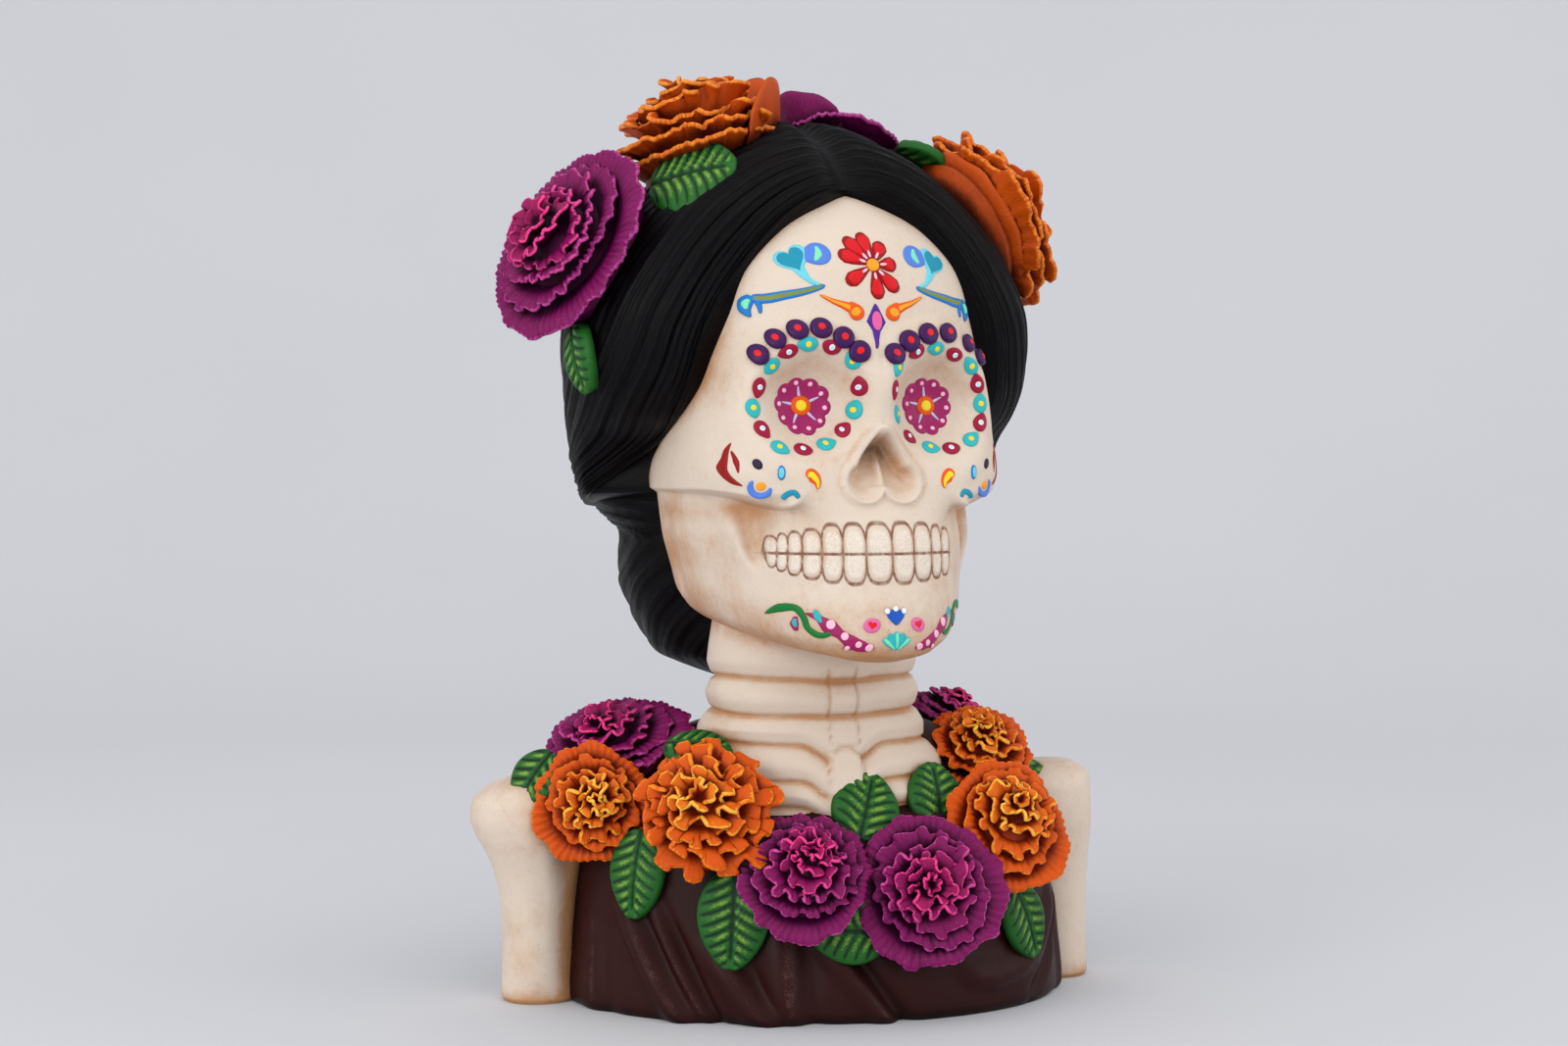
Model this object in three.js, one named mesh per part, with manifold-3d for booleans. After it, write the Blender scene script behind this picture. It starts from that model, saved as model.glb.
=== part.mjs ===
// A catrina bust: a painted skull with centre-parted hair, a crown of flowers, a ribbed neck,
// two arm bones and a draped dress under a garland. It is cast as one piece.
// Millimetres, +Z up, the face looks along -Y, and +X is to a viewer's right.
import * as THREE from "three";
import { mergeVertices } from "three/addons/utils/BufferGeometryUtils.js";
import Module from "manifold-3d";

// Driving dimensions.
const CHIN_Z = 105; // underside of the chin
const CROWN_Z = 266; // top of the hair
const ARCH_Z = 152; // lower edge of the cheekbones
const EYE = { x: 19.3, z: 178, radius: 16, depth: 9.5 };
const NOSE = { top: 171, bottom: 150.5, halfWidth: 9.5, depth: 6 };
const TEETH = { bite: 135.7, halfWidth: 25 };
const NECK = { halfWidth: 32.5, y: -5, pitch: 10.6, relief: 1.5 };
const BODY = { x: 3, y: 4, turn: -15 }; // middle of the dress, and degrees that it is turned from the face
const DRESS = { halfWidth: 76, front: 53, back: 42, power: 2.05, folds: 11, foldDepth: 3.2, slant: 0.011 };
const ARM = { left: [-79.3, 18.7], right: [82.2, -2.9], turn: -8, power: 2.2 }; // shaft middles in plan
const LOCKS = 13; // broad locks on each side of the parting
const LOCK_RELIEF = 1.6;
const MIDDLE = { x: -2.7, y: 6.1 }; // middle of the piece in plan, which the last step moves to the origin
const FACET_TOLERANCE = 0.39; // how far the faceted surface may stray when small facets are merged

const wasm = await Module();
wasm.setup();

const clamp01 = (t) => Math.min(1, Math.max(0, t));
const smooth = (a, b, t) => {
  const s = clamp01((t - a) / (b - a));
  return s * s * (3 - 2 * s);
};
const bump = (t) => (Math.abs(t) < 1 ? (1 - t * t) ** 2 : 0);
const radians = THREE.MathUtils.degToRad;

// Reads a station table at height z. Each row is [z, value, value, ...], and values change smoothly between.
function station(table, z) {
  let i = 1;
  while (i < table.length - 1 && z > table[i][0]) i += 1;
  const [a, b] = [table[i - 1], table[i]];
  const t = smooth(0, 1, (z - a[0]) / (b[0] - a[0])) * 0.5 + clamp01((z - a[0]) / (b[0] - a[0])) * 0.5;
  return a.slice(1).map((value, k) => value + (b[k + 1] - value) * t);
}

// A closed solid from rows of points of equal length, each row a ring, with a fan over each end.
function ringSolid(rows) {
  const n = rows[0].length;
  const points = rows.flat();
  const triangles = [];
  const middle = (row) => row.reduce((sum, p) => sum.add(p), new THREE.Vector3()).divideScalar(n);
  for (let j = 0; j < rows.length - 1; j += 1) {
    for (let i = 0; i < n; i += 1) {
      const [a, b] = [j * n + i, j * n + ((i + 1) % n)];
      const [c, d] = [b + n, a + n];
      const short = points[a].distanceTo(points[c]) <= points[b].distanceTo(points[d]);
      triangles.push(...(short ? [a, b, c, a, c, d] : [a, b, d, b, c, d]));
    }
  }
  const last = (rows.length - 1) * n;
  points.push(middle(rows[0]), middle(rows[rows.length - 1]));
  for (let i = 0; i < n; i += 1) {
    const k = (i + 1) % n;
    triangles.push(points.length - 2, k, i, points.length - 1, last + i, last + k);
  }
  return solid(points, triangles);
}

// Welds points, drops triangles that close up, and returns the manifold body, faces outwards.
function solid(points, triangles) {
  const geometry = new THREE.BufferGeometry().setFromPoints(triangles.map((i) => points[i]));
  const welded = mergeVertices(geometry, 1e-3);
  const index = welded.index.array;
  const kept = [];
  for (let i = 0; i < index.length; i += 3) {
    const [a, b, c] = [index[i], index[i + 1], index[i + 2]];
    if (a !== b && b !== c && a !== c) kept.push(a, b, c);
  }
  const make = (list) =>
    new wasm.Manifold(
      new wasm.Mesh({
        numProp: 3,
        vertProperties: welded.attributes.position.array,
        triVerts: new Uint32Array(list),
      }),
    );
  const body = make(kept);
  if (body.volume() > 0) return body;
  for (let i = 0; i < kept.length; i += 3) [kept[i + 1], kept[i + 2]] = [kept[i + 2], kept[i + 1]];
  return make(kept);
}

// A point of a level ring: a superellipse with its own depth to the front and to the back.
function levelPoint(angle, z, halfWidth, front, back, middle, power) {
  const [s, c] = [Math.sin(angle), Math.cos(angle)];
  const x = halfWidth * Math.sign(s) * Math.abs(s) ** (2 / power);
  const reach = c > 0 ? middle - front : back - middle;
  const y = middle - reach * Math.sign(c) * Math.abs(c) ** (2 / power);
  return new THREE.Vector3(x, y, z);
}

// Turns a point about an upright line through a place in plan.
function turned(p, [atX, atY], degrees) {
  const angle = radians(degrees);
  const [x, y] = [p.x - atX, p.y - atY];
  const [c, s] = [Math.cos(angle), Math.sin(angle)];
  return p.set(atX + x * c - y * s, atY + x * s + y * c, p.z);
}

// The skull by height: half width, front y, back y, power of the plan.
const SKULL = [
  [CHIN_Z, 24, -60, 0, 2],
  [107.5, 32, -67, 2, 2],
  [112, 36.5, -69.5, 4, 2.1],
  [120, 39.5, -68.5, 6, 2.1],
  [130, 42, -66, 8, 2.05],
  [142, 45, -64.5, 12, 2],
  [149, 45.5, -61.6, 22, 2.1],
  [ARCH_Z, 47.5, -60.4, 30, 3.4],
  [160, 48, -58.4, 40, 3.9],
  [172, 47.5, -56, 52, 3.9],
  [185, 47, -55, 62, 3.4],
  [196, 48, -54.5, 68, 2.7],
  [208, 48.5, -53, 70, 2.25],
  [218, 47, -50.5, 68, 2.15],
  [228, 42, -44.5, 60, 2.1],
  [238, 33, -33.5, 50, 2.1],
  [246, 20, -18, 36, 2],
];
const SKULL_MIDDLE = 4;
// How far the underside of the jaw climbs towards the throat, as a share of the way back.
const CHIN_TILT = 0.115;

// Height of the face's relief towards the viewer at x, z.
function faceRelief(x, z) {
  const side = Math.abs(x);
  const toEye = Math.hypot(side - EYE.x, z - EYE.z) / EYE.radius;
  let h = -EYE.depth * bump(toEye / 1.15);
  h += 2 * bump((toEye - 1.2) / 0.5) * smooth(EYE.z - 6, EYE.z + 10, z);
  const up = (z - NOSE.bottom) / (NOSE.top - NOSE.bottom);
  const opening = NOSE.halfWidth * Math.sqrt(clamp01(1 - up)) * Math.sqrt(clamp01(up + 0.25));
  const inNose = up > -0.2 && up < 1 ? side / Math.max(opening, 0.8) : 9;
  h -= NOSE.depth * smooth(1.3, 0.4, inNose) * smooth(-0.15, 0.2, up) * smooth(1.05, 0.75, up);
  h += 4 * bump(side / 10) * smooth(NOSE.top - 14, NOSE.top, z) * smooth(204, 180, z);
  h += 1 * bump((inNose - 1.35) / 0.6);
  const bite = (z - TEETH.bite) / 8.3;
  h += 1.1 * bump(bite / 1.1) * smooth(TEETH.halfWidth + 4, TEETH.halfWidth - 2, side);
  h -= 0.9 * bump((z - TEETH.bite) / 2) * smooth(TEETH.halfWidth + 2, TEETH.halfWidth - 2, side);
  return h;
}

function skull() {
  const heights = [105, 107.5, 111, 116, 121, 125.5, 128, 132, 134.2, 135.7, 137.2, 140, 144, 146.5, 149.5,
    152, 154.5, 158, 162, 166, 170, 174, 178, 182, 186, 190, 195, 202, 211, 221, 231, 240];
  const chords = Array.from({ length: 33 }, (_, i) => Math.sin(radians(-90 + (180 * i) / 32)));
  return ringSolid(
    heights.map((z) => {
      const [halfWidth, front, back, power] = station(SKULL, z);
      const ring = chords.map((chord) => {
        const share = Math.max(0, 1 - Math.abs(chord) ** power) ** (1 / power);
        const p = new THREE.Vector3(halfWidth * chord, SKULL_MIDDLE + (front - SKULL_MIDDLE) * share, z);
        p.y -= faceRelief(p.x, z) * smooth(0.12, 0.6, share);
        p.x -= Math.sign(p.x) * 3.4 * bump((z - 144) / 9) * bump((p.y + 22) / 22);
        p.z += CHIN_TILT * (p.y + 66) * smooth(128, 107, z) * smooth(-66, -50, p.y);
        return p;
      });
      const rise = CHIN_TILT * (SKULL_MIDDLE + 66) * smooth(128, 107, z);
      const rear = [0.8, 0, -0.8].map((x) => new THREE.Vector3(x * halfWidth, back, z + rise));
      return [...ring, ...rear];
    }),
  );
}

// The hair by height: half width, front y, back y, power of the plan in front.
const HAIR = [
  [138, 50, 16, 74, 2.2],
  [146, 60, 10, 78, 2.3],
  [152, 65, 6, 80, 2.4],
  [160, 67.5, 1, 81, 2.4],
  [168, 68.5, -10, 79, 2.5],
  [176, 69.5, -27, 79, 2.8],
  [184, 70.5, -35, 79, 2.9],
  [193, 71, -39, 78, 2.9],
  [204, 70.5, -42, 77, 2.8],
  [219, 66, -43.5, 74, 2.5],
  [232, 57, -42, 67, 2.4],
  [241, 49, -37.5, 61, 2.3],
  [252, 36, -26, 50, 2.2],
  [261, 21, -10, 37, 2],
  [CROWN_Z, 5, 5, 24, 2],
];
const HAIR_CENTRE = new THREE.Vector3(0, 14, 190);
const HAIR_BACK_POWER = 1.9;

// Distance from the hair's centre to its surface along a direction, by halving.
function hairReach(direction) {
  let [low, high] = [5, 110];
  for (let k = 0; k < 30; k += 1) {
    const r = (low + high) / 2;
    const p = HAIR_CENTRE.clone().addScaledVector(direction, r);
    const inside = p.z < CROWN_Z && p.z > HAIR[0][0];
    const [halfWidth, front, back, frontPower] = station(HAIR, p.z);
    const away = p.y - HAIR_CENTRE.y;
    const reach = Math.max(4, away < 0 ? HAIR_CENTRE.y - front : back - HAIR_CENTRE.y);
    const power = away < 0 ? frontPower : HAIR_BACK_POWER;
    const size = Math.abs(p.x / halfWidth) ** power + Math.abs(away / reach) ** power;
    if (inside && size < 1) low = r;
    else high = r;
  }
  return low;
}

// The path of the strand at the face, and of the strand down the back, from the parting to the gather.
const EDGE_PATH = [
  [0, -34, 239],
  [-9, -35, 233.5],
  [-20, -35.5, 227],
  [-28.5, -35, 218.5],
  [-35, -31, 206],
  [-38.5, -27, 194],
  [-40.5, -23, 184],
  [-43, -14, 175],
  [-46, 4, 166],
  [-50, 22, 158],
  [-46, 46, 151],
  [-28, 66, 148],
  [0, 74, 147],
];
const BACK_PATH = [[0, 36, 256], [0, 62, 234], [0, 78, 205], [0, 79, 175], [0, 74, 147]];
const toCurve = (list) =>
  new THREE.CatmullRomCurve3(list.map(([x, y, z]) => new THREE.Vector3(x, y, z)));
const edgeCurve = toCurve(EDGE_PATH);
const backCurve = toCurve(BACK_PATH);

// A point of the hair on the -X side. Across runs from 0 at the face to 1 at the back, and along runs from
// 0 at the parting to 1 at the gather.
function hairPoint(across, along) {
  const from = edgeCurve.getPoint(along).sub(HAIR_CENTRE).normalize();
  const to = backCurve.getPoint(along).sub(HAIR_CENTRE).normalize();
  const direction = from.lerp(to, across ** 1.15).normalize();
  const ridge = Math.abs(Math.sin(Math.PI * LOCKS * across));
  const fade = smooth(0, 0.12, along) * smooth(1, 0.85, along);
  const parting = 3.5 * (1 - smooth(0, 0.12, along));
  const reach = hairReach(direction) + LOCK_RELIEF * (ridge - 0.6) * fade - parting;
  return HAIR_CENTRE.clone().addScaledVector(direction, reach);
}

// Both halves of the hair, and an underside from one face edge back into the skull and out to the other edge.
function hairCap() {
  const [across, along] = [LOCKS * 2, 10];
  const points = [];
  const triangles = [];
  for (const side of [1, -1]) {
    const base = points.length;
    for (let j = 0; j <= along; j += 1) {
      for (let i = 0; i <= across; i += 1) {
        const p = hairPoint(i / across, (j / along) ** 1.35);
        if (j === 0 || j === along || i === across) p.x = 0;
        points.push(new THREE.Vector3(p.x * side, p.y, p.z));
      }
    }
    for (let j = 0; j < along; j += 1) {
      for (let i = 0; i < across; i += 1) {
        const a = base + j * (across + 1) + i;
        const [b, c, d] = [a + 1, a + across + 2, a + across + 1];
        triangles.push(...(side > 0 ? [a, b, c, a, c, d] : [a, c, b, a, d, c]));
      }
    }
  }
  const half = (along + 1) * (across + 1);
  const middle = points.length;
  for (let j = 0; j <= along; j += 1) {
    const edge = points[j * (across + 1)];
    const share = j / along;
    const backward = 24 * smooth(0, 0.1, share) * smooth(0.85, 0.6, share);
    points.push(new THREE.Vector3(0, edge.y + backward, edge.z));
  }
  for (let j = 0; j < along; j += 1) {
    const [a, b] = [j * (across + 1), (j + 1) * (across + 1)];
    const [m, n] = [middle + j, middle + j + 1];
    triangles.push(a, b, n, a, n, m, m, n, half + b, m, half + b, half + a);
  }
  return solid(points, triangles);
}

// The roll of hair at the nape by height: half width, front y, back y, power of the plan.
const ROLL = [
  [93, 13, 18, 34, 2],
  [97, 24, 14, 48, 2],
  [102, 35, 10, 66, 2],
  [108, 39, 8, 74, 2.1],
  [116, 43, 6, 79, 2.1],
  [126, 46, 4, 81, 2.2],
  [134, 46, 3, 79, 2.2],
  [139, 46, 3, 77, 2.2],
  [145, 52, 2, 78, 2.1],
  [152, 58, 3, 76, 2],
  [163, 56, 8, 70, 2],
];

function napeRoll() {
  const heights = [93, 97, 102, 109, 118, 128, 138, 145, 152, 163];
  return ringSolid(
    heights.map((z) => {
      const [halfWidth, front, back, power] = station(ROLL, z);
      return Array.from({ length: 26 }, (_, i) => {
        const angle = (2 * Math.PI * i) / 26;
        const p = levelPoint(angle, z, halfWidth, front, back, 34, power);
        const lock = Math.sin(angle * 7 + z * 0.1) * 1.3;
        p.x += Math.sin(angle) * lock;
        p.y -= Math.cos(angle) * lock;
        return p;
      });
    }),
  );
}

// The neck and chest by height: half width, front y, back y.
const CHEST = [
  [30, 62, -34, 30],
  [52, 58, -38, 32],
  [62, 50, -37.5, 30],
  [70, 43, -35, 27],
  [77, 37.5, -32.5, 23],
  [84, 34, -31, 21],
  [92, NECK.halfWidth, -30.5, 20.5],
  [101, NECK.halfWidth - 0.5, -30, 20.5],
  [118, NECK.halfWidth - 3, -30, 20],
];

function neck() {
  const upper = [77.5, 79.5, 83, 86.5, 88.4, 90.3, 94, 97.5, 99, 101, 105, 118];
  const heights = [30, 52, 61, 65.5, 67.5, 71, 75, ...upper];
  return ringSolid(
    heights.map((z) => {
      const [halfWidth, front, back] = station(CHEST, z);
      return Array.from({ length: 24 }, (_, i) => {
        const angle = (2 * Math.PI * i) / 24;
        const p = levelPoint(angle, z, halfWidth, front, back, NECK.y, 2.1);
        const band = Math.abs(Math.sin((Math.PI * (z - 99)) / NECK.pitch));
        const swell = NECK.relief * (Math.min(1, band * 1.6) - 0.7) * smooth(54, 64, z);
        p.x += Math.sin(angle) * swell;
        p.y -= Math.cos(angle) * swell;
        p.z -= 5 * smooth(86, 66, z) * bump(p.x / 30) * Math.max(0, Math.cos(angle));
        return turned(p, [BODY.x, BODY.y], BODY.turn * smooth(90, 56, z));
      });
    }),
  );
}

// The raised blocks down the front of the neck: lowest and highest z, half width, front y.
const BLOCKS = [
  { low: 90.5, high: 98.2, half: 4.6, front: -32.8 },
  { low: 80, high: 87.6, half: 4.4, front: -33.6 },
  { low: 62, high: 77, half: 5, front: -38.5 },
];

function block({ low, high, half, front }) {
  const rim = [[-1, 0.6], [-0.8, 1], [0.8, 1], [1, 0.6]];
  return ringSolid(
    [0, 1, 2].map((k) => {
      const z = low + ((high - low) * k) / 2;
      const share = k === 1 ? 1 : 0.85;
      const face = rim.map(([x, out]) => new THREE.Vector3(x * half * share, front + (1 - out) * 2, z));
      return [...face, new THREE.Vector3(half, front + 12, z), new THREE.Vector3(-half, front + 12, z)];
    }),
  );
}

// The dress by height: half width, front reach, back reach and fold depth, as shares of the values in DRESS.
const GOWN = [
  [0, 0.99, 0.99, 0.99, 0.7],
  [3, 1, 1, 1, 1],
  [20, 0.985, 0.97, 0.98, 1],
  [40, 0.96, 0.92, 0.94, 0.7],
  [52, 0.94, 0.88, 0.9, 0.3],
  [58, 0.88, 0.82, 0.86, 0],
  [62, 0.82, 0.66, 0.84, 0],
  [70, 0.74, 0.42, 0.8, 0],
  [78, 0.62, 0.3, 0.7, 0],
  [84, 0.4, 0.15, 0.45, 0],
];

function dress() {
  const heights = [0, 3, 14, 27, 40, 52, 62, 72, 84];
  return ringSolid(
    heights.map((z) => {
      const [wide, front, back, folds] = station(GOWN, z);
      return Array.from({ length: DRESS.folds * 4 }, (_, i) => {
        const angle = (2 * Math.PI * i) / (DRESS.folds * 4) - z * DRESS.slant;
        const reach = [DRESS.halfWidth * wide, -DRESS.front * front, DRESS.back * back];
        const p = levelPoint(angle, z, ...reach, 0, DRESS.power);
        const swell = DRESS.foldDepth * folds * [-0.6, 0.15, 0.4, 0.1][i % 4];
        p.x += BODY.x + Math.sin(angle) * swell;
        p.y += BODY.y - Math.cos(angle) * swell;
        return turned(p, [BODY.x, BODY.y], BODY.turn);
      });
    }),
  );
}

// An arm bone by height: half width, half depth, and how far it leans outwards on the left and on the right.
const BONE = [
  [0, 10.2, 9.6, 0, 0],
  [1.5, 11.2, 10.6, 0, 0],
  [18, 10.9, 11, 0, 0],
  [29, 11.5, 11.4, 0, -0.4],
  [38, 12.7, 12.4, 0.3, -1.2],
  [45, 13.8, 13.4, 0.8, -2.2],
  [50, 16.6, 15.2, 1.8, -4.6],
  [55, 17.8, 16, 2.6, -5.8],
  [60, 17.4, 15.6, 2.5, -5.6],
  [64, 14.6, 13, 1.6, -3.2],
  [67.6, 7.4, 7, 0, -1],
];

function arm(side) {
  const heights = [0, 1.5, 33, 43, 49, 55, 60, 64, 67.6];
  const [x, y] = side < 0 ? ARM.left : ARM.right;
  return ringSolid(
    heights.map((z) => {
      const [halfWidth, halfDepth, leanLeft, leanRight] = station(BONE, z);
      return Array.from({ length: 12 }, (_, i) => {
        const angle = (2 * Math.PI * i) / 12;
        const p = levelPoint(angle, z, halfWidth, y - halfDepth, y + halfDepth, y, ARM.power);
        p.x += x + side * (side < 0 ? leanLeft : leanRight);
        return turned(p, [x, y], ARM.turn);
      });
    }),
  );
}

// Sets a body modelled facing +Z at a place, facing an azimuth and elevation. Azimuth 0 faces the front and
// grows towards +X, and the roll turns the body about the way it faces, from the viewer's right upwards.
function facing(body, [x, y, z], azimuth, elevation, roll = 0) {
  const [a, e] = [radians(azimuth), radians(elevation)];
  const right = new THREE.Vector3(Math.cos(a), Math.sin(a), 0);
  const out = new THREE.Vector3(Math.sin(a) * Math.cos(e), -Math.cos(a) * Math.cos(e), Math.sin(e));
  const up = out.clone().cross(right);
  const placed = new THREE.Matrix4().makeBasis(right, up, out).setPosition(x, y, z);
  return body.transform(placed.multiply(new THREE.Matrix4().makeRotationZ(radians(roll))).toArray());
}

// A ruffled flower facing +Z: shares of radius and height for each crest and valley, from the rim inwards.
const BLOOM = [[0.5, -0.5], [1, 0.1], [0.74, 0.2], [0.7, 0.5], [0.46, 0.48], [0.38, 0.8], [0.12, 0.72]];

function flower(radius, height, ruffles, phase, count) {
  return ringSolid(
    BLOOM.map(([r, h], k) =>
      Array.from({ length: count }, (_, i) => {
        const angle = (2 * Math.PI * i) / count;
        const wave = Math.cos(angle * ruffles + phase + (k >> 1) * 1.9);
        const out = radius * r * (1 + (k > 1 ? 0.08 : 0.05) * wave);
        const up = height * (h + 0.05 * Math.sin(angle * ruffles + phase + (k >> 1)));
        return new THREE.Vector3(Math.cos(angle) * out, Math.sin(angle) * out, k === 0 ? height * h : up);
      }),
    ),
  );
}

// A pointed leaf along +X from the origin, its face towards +Z, creased along the midrib.
function leaf(length, halfWidth, thickness) {
  const rows = [];
  for (let j = 0; j <= 4; j += 1) {
    const t = 0.03 + (0.94 * j) / 4;
    const half = halfWidth * Math.sin(Math.PI * t ** 0.8) ** 0.7;
    const arch = 1.6 * Math.sin(Math.PI * t);
    const x = length * t;
    rows.push([
      new THREE.Vector3(x, -half, arch - 0.8),
      new THREE.Vector3(x, -half * 0.5, arch + 0.5),
      new THREE.Vector3(x, 0, arch - 0.3),
      new THREE.Vector3(x, half * 0.5, arch + 0.5),
      new THREE.Vector3(x, half, arch - 0.8),
      new THREE.Vector3(x, 0, arch - thickness),
    ]);
  }
  return ringSolid(rows);
}

// Flowers: place of the base, azimuth and elevation each faces, radius, height and ruffles. Plain ones are
// at the back and have fewer facets.
const CROWN_FLOWERS = [
  { at: [-69, 8, 224.5], azimuth: -68, elevation: 26, radius: 30, height: 19, ruffles: 5 },
  { at: [-29, 11, 256], azimuth: -100, elevation: 76, radius: 25, height: 23, ruffles: 5 },
  { at: [20, 26, 257.5], azimuth: 165, elevation: 60, radius: 21, height: 15, ruffles: 5, plain: true },
  { at: [58, 5, 236], azimuth: 98, elevation: 28, radius: 29, height: 18, ruffles: 5 },
];
const GARLAND_FLOWERS = [
  { at: [-56, 17, 77], azimuth: -42, elevation: 62, radius: 22.5, height: 13, ruffles: 5 },
  { at: [-68, -2, 61], azimuth: -24, elevation: 14, radius: 17.5, height: 14, ruffles: 5 },
  { at: [-42.5, -32, 61], azimuth: -22, elevation: 22, radius: 21, height: 15, ruffles: 5 },
  { at: [-18.3, -46.5, 43], azimuth: -16, elevation: 26, radius: 19, height: 14, ruffles: 5 },
  { at: [16.6, -53, 38], azimuth: -16, elevation: 16, radius: 22, height: 15, ruffles: 5 },
  { at: [46, -46, 53], azimuth: 0, elevation: 26, radius: 20, height: 15, ruffles: 5 },
  { at: [49, -17, 73], azimuth: -6, elevation: 48, radius: 17.5, height: 14, ruffles: 5 },
  { at: [54, 11.6, 80], azimuth: 60, elevation: 62, radius: 15, height: 12, ruffles: 5, plain: true },
  { at: [27, 35, 62], azimuth: 160, elevation: 42, radius: 18, height: 12, ruffles: 5, plain: true },
  { at: [-18, 42, 62], azimuth: 190, elevation: 42, radius: 18, height: 12, ruffles: 5, plain: true },
];
// Leaves: place of the stem, azimuth and elevation the face looks to, roll of the tip, length, half width.
const LEAVES = [
  { at: [-58.2, -16.8, 55.2], azimuth: -50, elevation: 4, roll: 265, length: 27, half: 8.5 },
  { at: [-35.8, -36.3, 45.4], azimuth: -30, elevation: 4, roll: 267, length: 30, half: 10 },
  { at: [6.4, -51.6, 26.4], azimuth: -12, elevation: 6, roll: 176, length: 25, half: 9 },
  { at: [-0.5, -43.6, 52.3], azimuth: -8, elevation: 28, roll: 72, length: 22, half: 9.5 },
  { at: [26.4, -42, 53.6], azimuth: 7, elevation: 28, roll: 83, length: 22, half: 9 },
  { at: [48.1, -45.9, 37.4], azimuth: 25, elevation: 4, roll: 291, length: 25, half: 8 },
  { at: [-77.9, 8, 76], azimuth: -50, elevation: 25, roll: 247, length: 20, half: 8 },
  { at: [-48.3, -8.6, 79], azimuth: -40, elevation: 60, roll: 353, length: 22, half: 7 },
  { at: [67, -13, 69], azimuth: 40, elevation: 30, roll: 301, length: 20, half: 7 },
  { at: [-49.1, 4.3, 245.2], azimuth: -70, elevation: 51, roll: 20, length: 27, half: 11 },
  { at: [-73.7, 1.3, 202.3], azimuth: -82, elevation: -4, roll: 290, length: 22, half: 8 },
  { at: [34.5, 9.5, 261], azimuth: 107, elevation: 50, roll: 239, length: 24, half: 8 },
  { at: [2, 40, 258], azimuth: 180, elevation: 50, roll: 20, length: 26, half: 9 },
  { at: [62, 24, 222], azimuth: 118, elevation: 12, roll: 300, length: 26, half: 9 },
];

function ornaments() {
  const flowers = [...CROWN_FLOWERS, ...GARLAND_FLOWERS].map((f, i) => {
    const body = flower(f.radius, f.height, f.ruffles, i * 1.3, f.plain ? 8 : 10);
    return facing(body, f.at, f.azimuth, f.elevation, i * 23);
  });
  const leaves = LEAVES.map((l) =>
    facing(leaf(l.length, l.half, 5), l.at, l.azimuth, l.elevation, l.roll));
  return [...flowers, ...leaves];
}

const head = [skull(), hairCap(), napeRoll(), neck(), ...BLOCKS.map(block)];
const bodies = [...head, dress(), arm(-1), arm(1), ...ornaments()];
const joined = bodies.reduce((sum, body) => sum.add(body)).simplify(FACET_TOLERANCE);
// The largest shell is the cast. Specks of empty space that the joining shut inside are left out.
const [shell] = joined.decompose().sort((a, b) => b.volume() - a.volume());
const cast = shell.translate([-MIDDLE.x, -MIDDLE.y, 0]);

const mesh = cast.getMesh();
const geometry = new THREE.BufferGeometry();
geometry.setAttribute("position", new THREE.BufferAttribute(new Float32Array(mesh.vertProperties), 3));
geometry.setIndex(new THREE.BufferAttribute(new Uint32Array(mesh.triVerts), 1));

const bust = new THREE.Group();
const resin = new THREE.MeshStandardMaterial({ color: 0xe9dccb, roughness: 0.6, metalness: 0 });
const piece = new THREE.Mesh(geometry, resin);
piece.name = "catrina_bust";
bust.add(piece);

export default bust;
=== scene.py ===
"""The looks of the catrina bust: skull, hair, neck, arms, dress, flowers, leaves and painted ornament.

Shapes are worked out in millimetres about the axis of the skull. add_piece moves them into the part's frame.
"""

import math

import bpy
import numpy as np
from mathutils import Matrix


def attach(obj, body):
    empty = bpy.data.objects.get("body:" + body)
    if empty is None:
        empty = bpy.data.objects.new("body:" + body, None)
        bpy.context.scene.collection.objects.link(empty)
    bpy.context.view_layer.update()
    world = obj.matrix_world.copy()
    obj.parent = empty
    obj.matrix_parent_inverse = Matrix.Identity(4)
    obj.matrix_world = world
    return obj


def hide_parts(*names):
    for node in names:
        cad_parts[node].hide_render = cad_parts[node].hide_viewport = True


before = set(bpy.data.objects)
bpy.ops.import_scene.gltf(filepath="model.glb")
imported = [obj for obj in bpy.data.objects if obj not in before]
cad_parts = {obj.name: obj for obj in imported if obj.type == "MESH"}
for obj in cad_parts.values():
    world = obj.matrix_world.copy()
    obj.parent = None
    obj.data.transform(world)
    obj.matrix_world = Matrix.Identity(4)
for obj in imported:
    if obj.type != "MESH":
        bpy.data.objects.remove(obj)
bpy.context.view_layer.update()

# The middle of the part's underside, in mm from the axis of the skull, and a millimetre in metres.
MIDDLE = np.array([-2.7, 6.1, 0.0])
MM = 0.001


# Camera

# It stands a little to the left of the part's axis. Lengths are in mm, the yaw is in radians, the pitch in
# degrees below level, and the focal length in pixels of an image that is 1600 wide.
CAMERA_YAW = math.radians(-21.0)
CAMERA_DISTANCE = 776.0
CAMERA_HEIGHT = 166.5
CAMERA_ASIDE = 6.7
CAMERA_PITCH = 1.73
FOCAL_PIXELS = 2600.0
IMAGE_WIDTH = 1600.0
SENSOR_WIDTH = 36.0
# The camera's level way ahead and its way to the right, in plan.
AHEAD = np.array([-math.sin(CAMERA_YAW), math.cos(CAMERA_YAW)])
RIGHT = np.array([math.cos(CAMERA_YAW), math.sin(CAMERA_YAW)])


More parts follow.
